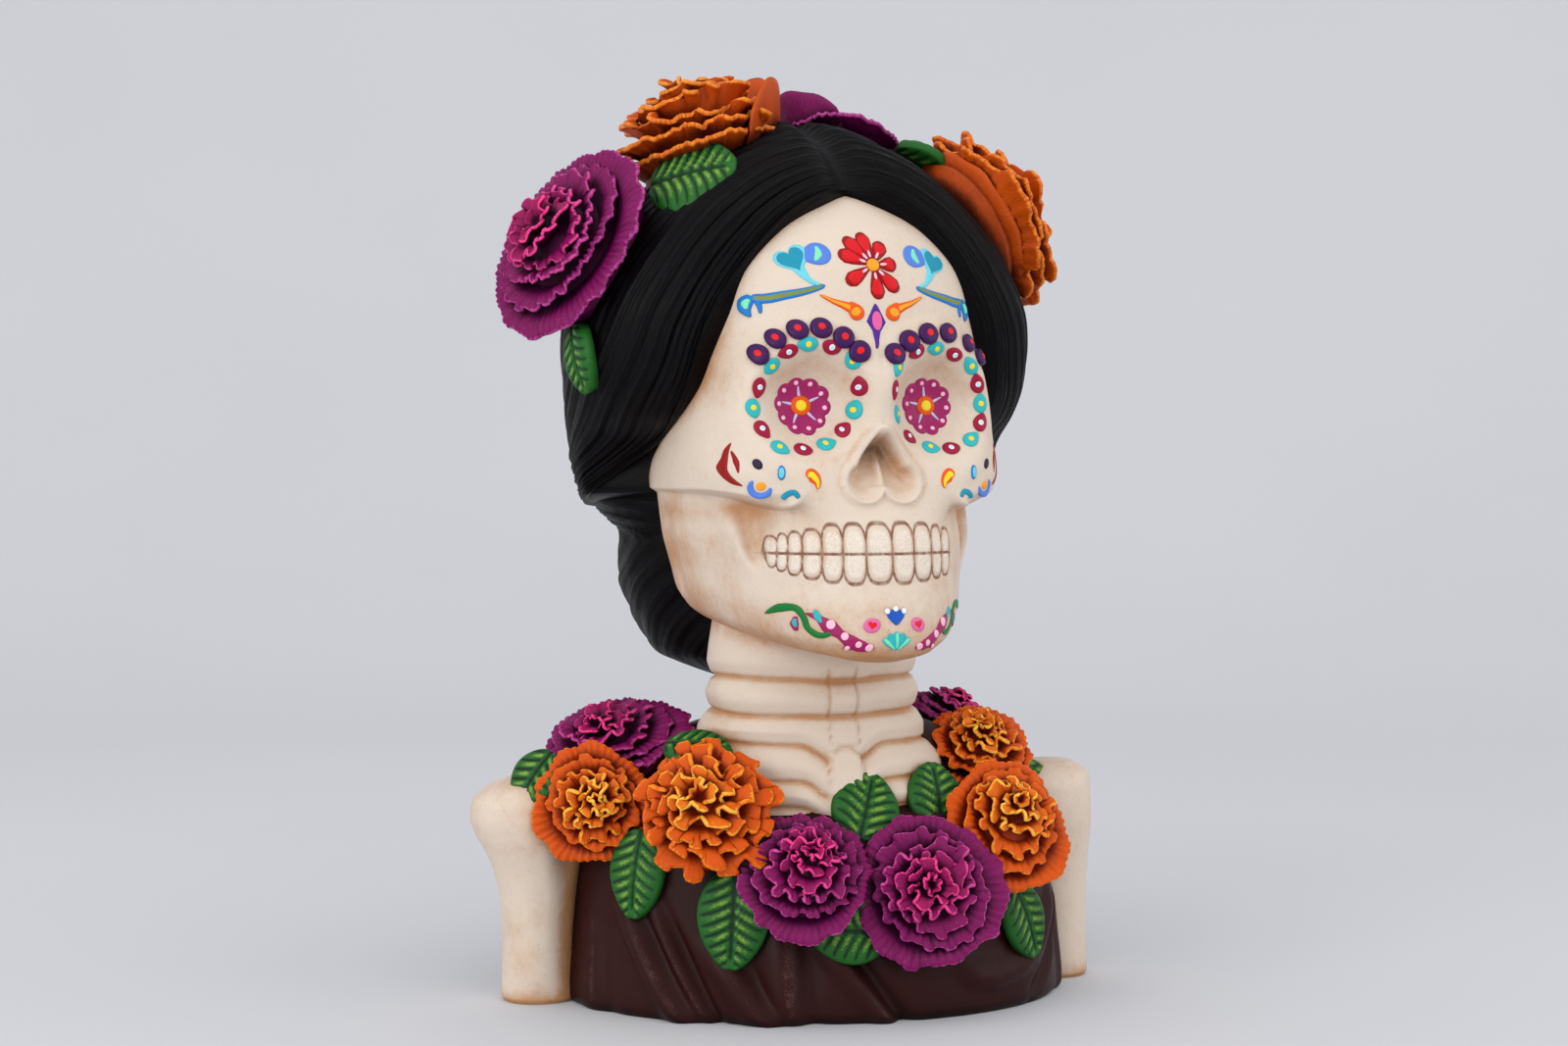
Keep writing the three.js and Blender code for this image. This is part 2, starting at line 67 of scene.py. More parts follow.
def set_camera():
    """Place the camera: a point on a circle round the axis, turned to the axis and tipped slightly down."""
    foot = (-AHEAD * CAMERA_DISTANCE - RIGHT * CAMERA_ASIDE - MIDDLE[:2]) * MM
    data = bpy.data.cameras.new("camera")
    data.lens = FOCAL_PIXELS / IMAGE_WIDTH * SENSOR_WIDTH
    data.sensor_width = SENSOR_WIDTH
    data.clip_start = 0.02
    data.clip_end = 20.0
    camera = bpy.data.objects.new("camera", data)
    camera.location = (foot[0], foot[1], CAMERA_HEIGHT * MM)
    camera.rotation_euler = (math.radians(90.0 - CAMERA_PITCH), 0.0, CAMERA_YAW)
    bpy.context.scene.collection.objects.link(camera)
    bpy.context.scene.camera = camera


set_camera()


# Curves and grids

def smooth(a, b, t):
    """Rise from 0 at a to 1 at b with level ends: 3s^2 - 2s^3 of the share of the way s."""
    s = np.clip((t - a) / (b - a), 0.0, 1.0)
    return s * s * (3 - 2 * s)


def bump(t):
    """A hill of height 1 at t = 0 that ends at t = -1 and 1: (1 - t^2)^2."""
    return (1 - np.minimum(np.square(t), 1.0)) ** 2


def mix(a, b, t):
    """The point a share t of the way from a to b."""
    return a + (b - a) * t


def unit(v):
    """Each vector divided by its length."""
    return v / np.maximum(np.linalg.norm(v, axis=-1, keepdims=True), 1e-9)


def ridges(course, power):
    """Rounded ridges, one in each unit of the course, with sharp grooves between: |sin(pi course)|^power."""
    return np.abs(np.sin(math.pi * course)) ** power


def cubic(stops, values, slopes, at):
    """Values at the places given on cubics that join the stops, with the value and slope of each stop."""
    gap = np.diff(stops)
    i = np.clip(np.searchsorted(stops, at) - 1, 0, len(stops) - 2)
    t = np.clip((at - stops[i]) / gap[i], 0.0, 1.0)[..., None]
    gap = gap[i][..., None]
    start = (1 + 2 * t) * (1 - t) ** 2 * values[i] + t * (1 - t) ** 2 * gap * slopes[i]
    end = t * t * (3 - 2 * t) * values[i + 1] - t * t * (1 - t) * gap * slopes[i + 1]
    return start + end


def station(table, at):
    """Every column of a table at the places given, by cubics through its rows that never overshoot.

    The slope at a row is the harmonic mean of the slopes on its two sides, or 0 where their signs differ.
    """
    rows = np.asarray(table, float)
    stops, values = rows[:, 0], rows[:, 1:]
    rise = np.diff(values, axis=0) / np.diff(stops)[:, None]
    same = rise[1:] * rise[:-1] > 0
    total = np.where(same, rise[1:] + rise[:-1], 1.0)
    inner = np.where(same, 2 * rise[1:] * rise[:-1] / total, 0.0)
    return cubic(stops, values, np.vstack([rise[:1], inner, rise[-1:]]), np.asarray(at, float))


def along_path(points, t):
    """A smooth curve through the points at shares t of its length.

    The slope at a point is the mean of the slopes on its two sides, each weighted by the other's length.
    """
    points = np.asarray(points, float)
    steps = np.linalg.norm(np.diff(points, axis=0), axis=1)
    share = np.concatenate([[0.0], np.cumsum(steps)]) / steps.sum()
    h = np.diff(share)[:, None]
    rise = np.diff(points, axis=0) / h
    inner = (rise[1:] * h[:-1] + rise[:-1] * h[1:]) / (h[1:] + h[:-1])
    return cubic(share, points, np.vstack([rise[:1], inner, rise[-1:]]), np.asarray(t, float))


def listed(grid):
    """The values of a grid as one list, row by row."""
    return grid.reshape((-1,) + grid.shape[2:])


def numbered(rows, columns):
    """The numbers of a grid's points, row by row."""
    return np.arange(rows * columns).reshape(rows, columns)


def cells(number, wrap=False):
    """The four corners of each cell of a grid of point numbers; wrap joins the last column to the first."""
    if wrap:
        number = np.concatenate([number, number[:, :1]], axis=1)
    return listed(np.stack([number[:-1, :-1], number[:-1, 1:], number[1:, 1:], number[1:, :-1]], -1))


def with_ends(grid):
    """The values of a grid as one list, then the mean of its first row and the mean of its last."""
    return np.concatenate([listed(grid), grid[:1].mean(1), grid[-1:].mean(1)])


def spread(value, grid):
    """A mark's value, or its values along one way of a grid, over the whole grid."""
    return np.broadcast_to(value, grid.shape[:2] + np.shape(value)[2:])


def ring_solid(rings, **marks):
    """A closed body from rings of points, each closed on itself, with a fan of triangles over each end."""
    rows, columns = rings.shape[:2]
    number = numbered(rows, columns)
    around = np.stack([number[[0, -1]], np.roll(number[[0, -1]], -1, axis=1)], -1)
    low = np.column_stack([around[0][:, ::-1], np.full(columns, rows * columns)])
    high = np.column_stack([around[1], np.full(columns, rows * columns + 1)])
    marks = {mark: with_ends(spread(value, rings)) for mark, value in marks.items()}
    return with_ends(rings), [cells(number, wrap=True), low, high], marks


def shell(front, back, **marks):
    """A closed leaf of material from two grids that share their border."""
    rows, columns = front.shape[:2]
    number = numbered(rows, columns)
    under = number.copy()
    under[1:-1, 1:-1] = rows * columns + numbered(rows - 2, columns - 2)

    def joined(first, second):
        """The whole of the first grid and the inside of the second, as one list."""
        return np.concatenate([listed(first), listed(second[1:-1, 1:-1])])

    marks = {mark: spread(value, front) for mark, value in marks.items()}
    marks = {mark: joined(value, value) for mark, value in marks.items()}
    return joined(front, back), [cells(number), cells(under)[:, ::-1]], marks


def outwards(part):
    """Turn every face of a closed body round if the volume that its faces enclose comes out negative."""
    points, faces, marks = part
    centred = points - points.mean(0)
    volume = 0.0
    for face in faces:
        for k in range(1, face.shape[1] - 1):
            a, b, c = centred[face[:, 0]], centred[face[:, k]], centred[face[:, k + 1]]
            volume += np.einsum("ij,ij->", a, np.cross(b, c))
    if volume < 0:
        faces = [face[:, ::-1] for face in faces]
    return points, faces, marks


def normals_of(grid, wrap=False):
    """The normal of a grid at each point, from the differences along its two ways."""
    if wrap:
        wide = np.concatenate([grid[:, -1:], grid, grid[:, :1]], axis=1)
        along = (wide[:, 2:] - wide[:, :-2]) / 2
    else:
        along = np.gradient(grid, axis=1)
    return unit(np.cross(along, np.gradient(grid, axis=0)))


def carry(mesh, mark, value, loops):
    """Put a mark on a mesh: one number for each point as a value, two as a flat map, three as a colour."""
    if value.ndim == 1:
        mesh.attributes.new(mark, "FLOAT", "POINT").data.foreach_set("value", value)
    elif value.shape[1] == 2:
        mesh.uv_layers.new(name=mark).data.foreach_set("uv", value[loops].reshape(-1))
    else:
        value = np.column_stack([value, np.ones(len(value), np.float32)])
        mesh.attributes.new(mark, "FLOAT_COLOR", "POINT").data.foreach_set("color", value.reshape(-1))


def add_piece(name, parts, material):
    """One object from closed bodies in mm: merged, moved into the frame, and hung on the part's body."""
    points, loops, sizes, marks = [], [], [], {}
    base = 0
    for part in parts:
        spots, faces, own = outwards(part)
        points.append(spots)
        for face in faces:
            loops.append((face + base).reshape(-1))
            sizes.append(np.full(len(face), face.shape[1]))
        for mark, value in own.items():
            marks.setdefault(mark, []).append(value)
        base += len(spots)
    spots = (np.concatenate(points) - MIDDLE) * MM
    spots[:, 2] = np.maximum(spots[:, 2], 0.0)
    loops, sizes = np.concatenate(loops), np.concatenate(sizes)
    mesh = bpy.data.meshes.new(name)
    mesh.vertices.add(len(spots))
    mesh.vertices.foreach_set("co", spots.astype(np.float32).reshape(-1))
    mesh.loops.add(len(loops))
    mesh.loops.foreach_set("vertex_index", loops.astype(np.int32))
    mesh.polygons.add(len(sizes))
    starts = np.concatenate([[0], np.cumsum(sizes)[:-1]]).astype(np.int32)
    mesh.polygons.foreach_set("loop_start", starts)
    mesh.polygons.foreach_set("use_smooth", np.ones(len(sizes), bool))
    mesh.update(calc_edges=True)
    for mark, values in marks.items():
        carry(mesh, mark, np.concatenate(values).astype(np.float32), loops)
    mesh.materials.append(material)
    piece = bpy.data.objects.new(name, mesh)
    bpy.context.scene.collection.objects.link(piece)
    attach(piece, "root")
    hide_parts("catrina_bust")


# Level rings

# The middle of the dress, and the degrees by which the body is turned from the face.
BODY = np.array([3.0, 4.0])
BODY_TURN = -15.0


def ring_points(angle, half_width, front, back, middle, power):
    """Points of a level superellipse, angle 0 at the front, with its own front and back about a middle y."""
    s, c = np.sin(angle), np.cos(angle)
    x = half_width * np.sign(s) * np.abs(s) ** (2 / power)
    reach = np.where(c > 0, middle - front, back - middle)
    y = middle - reach * np.sign(c) * np.abs(c) ** (2 / power)
    return x, y


def pushed(x, y, angle, out):
    """Points of level rings moved outwards by so many mm along the angle of each."""
    return x + np.sin(angle) * out, y - np.cos(angle) * out


def turned(x, y, at, degrees):
    """Points turned about an upright line: its cosine and sine times what x and y are away from it."""
    angle = np.radians(degrees)
    c, s = np.cos(angle), np.sin(angle)
    return at[0] + (x - at[0]) * c - (y - at[1]) * s, at[1] + (x - at[0]) * s + (y - at[1]) * c


def stacked(x, y, z):
    """A grid of points from their x and y, and the z of each or of each row."""
    return np.stack([x, y, z + 0 * x], -1)


# Paint

def shade(red, green, blue):
    """A colour given as screen values from 0 to 255, as the linear values that a node takes."""
    screen = np.array([red, green, blue]) / 255.0
    return tuple(np.where(screen <= 0.04045, screen / 12.92, ((screen + 0.055) / 1.055) ** 2.4))


BONE = shade(220, 203, 185)
BONE_WASH = shade(190, 138, 92)
BONE_WORN = shade(238, 228, 214)
BONE_LINE = shade(122, 72, 44)
BONE_DARK = shade(78, 54, 36)
HAIR = shade(6, 4, 6)
HAIR_PAINTED_SHADE = shade(3, 3, 4)
HAIR_PAINTED_HIGHLIGHT = shade(30, 29, 32)
DRESS = shade(47, 16, 15)
DRESS_PAINTED_SHADE = shade(20, 9, 9)
DRESS_SCUFF_AND_HIGHLIGHT = shade(92, 62, 56)
LEAF = shade(34, 98, 34)
LEAF_WASH = shade(8, 44, 18)
LEAF_WORN = shade(126, 162, 64)
ORNAMENT_WASH = (0.02, 0.01, 0.01)
SPECULAR = 0.5


class Nodes:
    """Short ways to add nodes to one tree and to join them."""

    def __init__(self, tree):
        self.tree = tree

    def add(self, kind, **settings):
        """A node of a kind, with its settings."""
        node = self.tree.nodes.new(kind)
        for key, value in settings.items():
            setattr(node, key, value)
        return node

    def put(self, socket, value):
        """Link a socket to an output, or set its own value."""
        if isinstance(value, bpy.types.NodeSocket):
            self.tree.links.new(value, socket)
        elif isinstance(value, tuple) and len(value) == 3 and socket.type == "RGBA":
            socket.default_value = (*value, 1.0)
        else:
            socket.default_value = value

    def math(self, kind, a, b=0.0, c=0.0):
        """A sum, product or other operation of up to three values."""
        node = self.add("ShaderNodeMath", operation=kind)
        for socket, value in zip(node.inputs, (a, b, c)):
            self.put(socket, value)
        return node.outputs[0]

    def times(self, a, b, plus=0.0):
        """The product of two values, plus a third."""
        return self.math("MULTIPLY_ADD", a, b, plus)

    def less(self, a, b):
        """The first value less the second."""
        return self.math("SUBTRACT", a, b)

    def swing(self, value, reach, rest):
        """A value from 0 to 1, laid to both sides of a rest value: rest + reach * (value - 0.5)."""
        return self.times(self.less(value, 0.5), reach, rest)

    def ramp(self, value, low, high):
        """A value carried smoothly from 0 at low to 1 at high."""
        node = self.add("ShaderNodeMapRange", interpolation_type="SMOOTHSTEP")
        for socket, setting in zip(node.inputs, (value, low, high, 0.0, 1.0)):
            self.put(socket, setting)
        return node.outputs[0]

    def line(self, value, low, high):
        """A drawn line: 1 where a value is within low of 0 on either side, falling to 0 at high."""
        return self.less(1.0, self.ramp(self.math("ABSOLUTE", value), low, high))

    def blend(self, share, a, b):
        """Two colours mixed by a share."""
        node = self.add("ShaderNodeMix", data_type="RGBA")
        self.put(node.inputs[0], share)
        self.put(node.inputs[6], a)
        self.put(node.inputs[7], b)
        return node.outputs[2]

    def noise(self, place, scale, detail=3.0, roughness=0.55):
        """Noise at a place, from 0 to 1; the scale is its waves to the unit of the place."""
        node = self.add("ShaderNodeTexNoise", noise_dimensions="3D")
        values = {"Vector": place, "Scale": scale, "Detail": detail, "Roughness": roughness}
        for label, value in values.items():
            self.put(node.inputs[label], value)
        return node.outputs["Fac"]

    def mark(self, name, output="Fac"):
        """A value or a colour that the piece's points carry."""
        return self.add("ShaderNodeAttribute", attribute_name=name).outputs[output]

    def place(self):
        """Object coordinates in metres."""
        return self.add("ShaderNodeTexCoord").outputs["Object"]

    def along(self, name, stretch):
        """The piece's own flat map, with its second way scaled down so that noise runs in streaks along
        it."""
        node = self.add("ShaderNodeMapping")
        self.put(node.inputs["Vector"], self.add("ShaderNodeUVMap", uv_map=name).outputs[0])
        self.put(node.inputs["Scale"], (1.0, stretch, 1.0))
        return node.outputs[0]


def group(name, takes, gives):
    """A node group: the group, its nodes, what it takes and what it gives.

    takes holds the inputs, each with its own colour or number. gives names the outputs, of which Color is a
    colour and any other a number.
    """
    tree = bpy.data.node_groups.new(name, "ShaderNodeTree")
    for label, value in takes.items():
        colour = isinstance(value, tuple)
        kind = "NodeSocketColor" if colour else "NodeSocketFloat"
        socket = tree.interface.new_socket(name=label, in_out="INPUT", socket_type=kind)
        socket.default_value = (*value, 1.0) if colour else value
    for label in gives:
        kind = "NodeSocketColor" if label == "Color" else "NodeSocketFloat"
        tree.interface.new_socket(name=label, in_out="OUTPUT", socket_type=kind)
    n = Nodes(tree)
    return tree, n, n.add("NodeGroupInput").outputs, n.add("NodeGroupOutput").inputs


def hand_painted():
    """Paint put on by hand: a ground that clouds and streaks, a darker colour in hollows, and a lighter one on high
    places. On some pieces these are a real wash and real wear, on others painted shade and a painted highlight."""
    takes = {
        "Ground": (0.5, 0.5, 0.5), "WashAndShade": (0.2, 0.1, 0.05), "WornAndHighlight": (0.8, 0.8, 0.8), "Hollow": 0.0,
        "High": 0.0, "Cloud": 0.3, "Dullness": 0.5}
    tree, n, takes, gives = group("hand_painted", takes, ("Color", "Roughness", "Height"))
    place = n.place()
    broad = n.noise(place, 45.0, 4.0, 0.6)
    fine = n.noise(place, 420.0, 4.0, 0.65)
    grain = n.noise(place, 1900.0, 2.0, 0.5)
    mottled = n.swing(fine, 0.35, n.swing(broad, takes["Cloud"], takes["Hollow"]))
    washed = n.blend(n.ramp(mottled, 0.08, 0.92), takes["Ground"], takes["WashAndShade"])
    brushed = n.swing(grain, 0.9, takes["High"])
    n.put(gives["Color"], n.blend(n.ramp(brushed, 0.25, 0.95), washed, takes["WornAndHighlight"]))
    n.put(gives["Roughness"], n.swing(fine, 0.22, takes["Dullness"]))
    n.put(gives["Height"], n.times(fine, 0.7, n.times(grain, 0.3)))
    return tree


def recess():
    """How deep a place lies between its neighbours: the share of short rays that hit something near it."""
    tree, n, takes, gives = group("recess", {"Reach": 0.004, "Strength": 1.0}, ("Hollow",))
    shelter = n.add("ShaderNodeAmbientOcclusion", samples=6)
    n.put(shelter.inputs["Distance"], takes["Reach"])
    n.put(gives["Hollow"], n.times(n.less(1.0, shelter.outputs["AO"]), takes["Strength"]))
    return tree


PAINTED = hand_painted()
RECESS = recess()


def paint(name, settings, specular=SPECULAR):
    """A new material with its nodes, its shader, and the hand_painted group placed with its settings."""
    material = bpy.data.materials.new(name)
    material.use_nodes = True
    n = Nodes(material.node_tree)
    surface = material.node_tree.nodes["Principled BSDF"]
    painted = n.add("ShaderNodeGroup", node_tree=PAINTED)
    for label, value in settings.items():
        n.put(painted.inputs[label], value)
    n.put(surface.inputs["Specular IOR Level"], specular)
    n.put(surface.inputs["Base Color"], painted.outputs["Color"])
    n.put(surface.inputs["Roughness"], painted.outputs["Roughness"])
    return material, n, surface, painted


def raise_grain(n, surface, height, strength, distance):
    """Small relief from a height, as a bump on the shader's normal."""
    node = n.add("ShaderNodeBump")
    n.put(node.inputs["Strength"], strength)
    n.put(node.inputs["Distance"], distance)
    n.put(node.inputs["Height"], height)
    n.put(surface.inputs["Normal"], node.outputs[0])


def sheltered(n, reach, strength):
    """The recess group placed in a material."""
    node = n.add("ShaderNodeGroup", node_tree=RECESS)
    n.put(node.inputs["Reach"], reach)
    n.put(node.inputs["Strength"], strength)
    return node.outputs[0]


def bone_paint():
    """Cream paint, warm clouds, brown specks, a brown wash in hollows that in places also paints their shade,
    lines round the teeth, and a darker colour deep in the top of the nose opening.

    The mark "tooth" is how far a point lies inside the outline of a tooth, and "bite" how far above the bite,
    both in mm.
    """
    material, n, surface, painted = paint("bone_paint", {
        "Ground": BONE, "WashAndShade": BONE_WASH, "WornAndHighlight": BONE_WORN, "Cloud": 1.15, "Dullness": 0.52})
    hollow = n.math("ADD", n.mark("wash"), sheltered(n, 0.007, 0.75))
    specks = n.ramp(n.noise(n.place(), 950.0, 4.0, 0.7), 0.56, 0.78)
    n.put(painted.inputs["Hollow"], n.times(specks, 0.34, n.math("ADD", hollow, 0.06)))
    mouth, outline = n.mark("mouth"), n.mark("tooth")
    enamel = n.times(n.ramp(outline, 0.3, 1.6), 0.62)
    n.put(painted.inputs["High"], n.times(enamel, mouth))
    drawn = n.math("MAXIMUM", n.line(outline, 0.14, 0.52), n.line(n.mark("bite"), 0.22, 0.6))
    patchy = n.ramp(n.noise(n.place(), 600.0), 0.3, 0.6)
    strength = n.times(n.times(drawn, mouth), n.times(patchy, 0.4, 0.56))
    lined = n.blend(strength, painted.outputs["Color"], BONE_LINE)
    nose_dark = n.times(n.mark("nose_dark"), n.times(patchy, 0.35, 0.65))
    n.put(surface.inputs["Base Color"], n.blend(nose_dark, lined, BONE_DARK))
    raise_grain(n, surface, painted.outputs["Height"], 0.6, 0.0005)
    return material


def hair_paint():
    """Near-black paint with a painted highlight where a strand stands high and painted shade in its grooves, over
    fine strands.
    """
    material, n, surface, painted = paint("hair_paint", {
        "Ground": HAIR, "WashAndShade": HAIR_PAINTED_SHADE, "WornAndHighlight": HAIR_PAINTED_HIGHLIGHT, "Cloud": 0.3, "Dullness": 0.42}, 0.09)
    strands = n.noise(n.along("strand", 0.045), 11.0, 3.0, 0.6)
    n.put(painted.inputs["Hollow"], n.less(0.55, n.mark("lift")))
    n.put(painted.inputs["High"], n.swing(strands, 0.9, n.times(n.mark("lift"), 0.42)))
    raise_grain(n, surface, n.times(painted.outputs["Height"], 0.3, strands), 0.6, 0.0008)
    return material


def dress_paint():
    """Dark brown paint with a soft sheen, painted shade in the recesses, and a painted highlight along the ridges
    of the folds that is broken by scuffs, dusty.
    """
    material, n, surface, painted = paint("dress_paint", {
        "Ground": DRESS, "WashAndShade": DRESS_PAINTED_SHADE, "WornAndHighlight": DRESS_SCUFF_AND_HIGHLIGHT, "Cloud": 0.7, "Dullness": 0.42}, 0.12)
    scuff = n.noise(n.place(), 260.0, 5.0, 0.75)
    dust = n.ramp(n.noise(n.place(), 2600.0, 1.0), 0.74, 0.8)
    # A painted highlight along the fold ridges, broken by scuffs, with specks of dust; painted shade in the
    # recesses.
    high = n.times(n.mark("ridge"), n.times(scuff, 1.1), n.times(dust, 0.25))
    n.put(painted.inputs["High"], n.less(high, 0.12))
    n.put(painted.inputs["Hollow"], sheltered(n, 0.01, 0.9))
    raise_grain(n, surface, painted.outputs["Height"], 0.2, 0.0004)
    return material


def petal_paint(name, deep, ground, rim, heart, heart_rim):
    """Petals with painted shade in the hollows and towards the roots, a painted highlight on the crests of the
    ruffles, dry-brushed along the ribs, with light rims near the heart.

    The marks: "rim" goes from 0 at a petal's root to 1 at its rim, "tier" from 0 at the flower's heart to 1
    at its outside, and "crest" from -1 to 1 over the ruffles.
    """
    material, n, surface, painted = paint(name, {"WashAndShade": deep, "Cloud": 0.6, "Dullness": 0.46}, 0.18)
    up, tier, crest = n.mark("rim"), n.mark("tier"), n.mark("crest")
    ribs = n.noise(n.along("petal", 0.1), 15.0, 3.0, 0.6)
    patchy = n.noise(n.place(), 330.0, 3.0, 0.6)
    n.put(painted.inputs["Ground"], n.blend(n.ramp(tier, 0.12, 0.7), heart, ground))
    n.put(painted.inputs["WornAndHighlight"], n.blend(n.ramp(tier, 0.2, 0.8), heart_rim, rim))
    # Painted shade: darker towards the roots and where short rays are sheltered, lighter on the ruffles' crests.
    shut = n.times(n.less(0.62, up), 0.75, sheltered(n, 0.005, 1.5))
    n.put(painted.inputs["Hollow"], n.less(shut, n.times(crest, 0.2)))
    strength = n.times(n.times(patchy, 0.8, 0.4), n.less(1.2, n.times(tier, 0.42)))
    line = n.times(n.ramp(up, 0.9, 0.985), strength)
    # A painted highlight on the crests that bulge out, added to the light rim lines.
    ridged = n.times(n.math("MAXIMUM", crest, 0.0), 0.2, line)
    n.put(painted.inputs["High"], n.swing(ribs, n.times(n.ramp(up, 0.25, 0.8), 2.1), ridged))
    raise_grain(n, surface, n.times(painted.outputs["Height"], 0.4, ribs), 0.55, 0.0008)
    return material


def leaf_paint():
    """Dark green in the veins and round the edge, with light strokes on the swellings between the veins."""
    material, n, surface, painted = paint("leaf_paint", {
        "Ground": LEAF, "WashAndShade": LEAF_WASH, "WornAndHighlight": LEAF_WORN, "Cloud": 0.6, "Dullness": 0.45}, 0.2)
    streak = n.noise(n.place(), 420.0)
    n.put(painted.inputs["High"], n.swing(streak, 0.9, n.times(n.mark("swell"), 0.8)))
    n.put(painted.inputs["Hollow"], n.math("ADD", n.mark("vein"), sheltered(n, 0.005, 0.8)))
    raise_grain(n, surface, painted.outputs["Height"], 0.35, 0.0004)
    return material


def ornament_paint():
    """Thick glossy dabs in each ornament's own colour, with faint brush marks."""
    material, n, surface, painted = paint(
        "ornament_paint", {"Cloud": 0.2, "Dullness": 0.4, "High": -1.0}, 0.25)
    colour = n.mark("paint", "Color")
    n.put(painted.inputs["Ground"], colour)
    n.put(painted.inputs["WashAndShade"], n.blend(0.4, colour, ORNAMENT_WASH))
    n.put(painted.inputs["WornAndHighlight"], colour)
    n.put(painted.inputs["Hollow"], sheltered(n, 0.0006, 0.2))
    raise_grain(n, surface, painted.outputs["Height"], 0.3, 0.0003)
    return material


bone_finish = bone_paint()
hair_finish = hair_paint()
dress_finish = dress_paint()
# For each: the painted shade of the hollows, the ground, the rims, the heart and the heart's rims.
orange_finish = petal_paint(
    "orange_petal_paint", shade(124, 30, 2), shade(216, 84, 5), shade(246, 140, 28),
    shade(232, 118, 12), shade(255, 198, 72))
dusky_finish = petal_paint(
    "dusky_petal_paint", shade(92, 26, 3), shade(200, 78, 8), shade(238, 136, 40),
    shade(192, 84, 14), shade(236, 150, 52))
purple_finish = petal_paint(
    "purple_petal_paint", shade(52, 2, 40), shade(126, 14, 88), shade(198, 78, 158),
    shade(156, 8, 84), shade(250, 66, 142))
leaf_finish = leaf_paint()
ornament_finish = ornament_paint()


# Skull

# The jaw and the cranium, which meet in a ledge under the cheekbones. By height: half width, front y, back
# y and power of the plan.
JAW = [
    [105, 24, -60, 0, 2], [107.5, 32, -67, 2, 2], [112, 36.5, -69.5, 4, 2.1], [120, 39.5, -68.5, 6, 2.1],
    [130, 42, -66, 8, 2.05], [142, 45, -64.5, 12, 2], [148.6, 45.5, -61.8, 22, 2.05],
    [160, 46.2, -58.4, 40, 2.05],
]
CRANIUM = [
    [140, 47, -64.5, 20, 3.0], [151, 47.7, -60.6, 30, 3.3], [160, 48, -58.4, 40, 3.9],
    [172, 47.5, -56, 52, 3.9], [185, 47, -55, 62, 3.4], [196, 48, -54.5, 68, 2.7],
    [208, 48.5, -53, 70, 2.25], [218, 47, -50.5, 68, 2.15], [228, 42, -44.5, 60, 2.1],
    [238, 33, -33.5, 50, 2.1], [246, 20, -18, 36, 2],
]
SKULL_MIDDLE = 4.0
SKULL_HALF_WIDTH = 47.0
# How far the underside of the chin climbs for each mm towards the throat, and the y of its front.
CHIN_TILT = 0.115
CHIN_FRONT = -66.0
EYE_X, EYE_Z, EYE_RADIUS, EYE_DEPTH = 19.3, 178.0, 16.0, 9.5
NOSE_TOP, NOSE_LOBE_Z, NOSE_LOBE_X, NOSE_LOBE, NOSE_DEPTH = 172.6, 156.4, 5.7, 6.3, 7.5
# The height of the bite, the edges of the eleven teeth from left to right, and how far each reaches up and
# down.
TEETH_BITE = 136.2
TEETH_EDGES = np.array([-30.0, -28.4, -26.2, -23.1, -18.6, -13.5, -7.4, 0.2, 7.2, 13.6, 17.8, 21.6])
TEETH_UP = np.array([4.8, 5.6, 6.2, 6.9, 8.3, 8.5, 8.7, 8.7, 8.4, 7.7, 6.9])
TEETH_DOWN = np.array([4.0, 5.0, 6.0, 7.0, 7.9, 8.4, 8.2, 8.3, 7.7, 7.1, 6.5])
ARCH_Z = 151.2
CHEEK_HOLLOW = 3.6


def ledge(side, z):
    """How far a place is past the cheekbone's lower edge: a sharp step at the sides, a long one between."""
    edge = ARCH_Z + 2.2 * smooth(32, 46, side) - 2.4 * bump((side - 29) / 9)
    reach = mix(11.0, 0.9, smooth(17, 26, side))
    return smooth(edge - reach, edge + reach, z)


def skull_plan(side, z):
    """Half width, front y, back y and power of the plan: the jaw's below the ledge, the cranium's above
    it."""
    return mix(station(JAW, z), station(CRANIUM, z), ledge(side, z)[..., None])


def nose_depth_in(x, z):
    """Millimetres inside the edge of the nose opening: a tall point joined to the two round lobes under
    it."""
    side = np.abs(x)
    width = 11.6 * np.maximum((NOSE_TOP - z) / (NOSE_TOP - NOSE_LOBE_Z), 0.0) ** 0.66
    point = np.where(z > NOSE_LOBE_Z - 1.5, (np.where(z < NOSE_TOP, width, -2.0) - side) * 0.8, -9.0)
    lobe = NOSE_LOBE - np.hypot(side - NOSE_LOBE_X, z - NOSE_LOBE_Z)
    return np.maximum(np.minimum(point, (NOSE_TOP - z) * 0.6), lobe)


def cheek_hollow(side, z):
    """The hollow under the cheekbone, from 0 to 1: a wedge, wide above, narrow below, beside the jaw's
    ridge."""
    up = np.clip((z - 129.0) / 21.0, 0.0, 1.0)
    off = (side - 31.3 - 1.6 * up) / (0.9 + 4.3 * up)
    across = np.where(off > 0, smooth(1.45, 0.2, off), bump(off / 1.3))
    return across * smooth(0.0, 0.45, up) * smooth(153.5, 149.0, z)


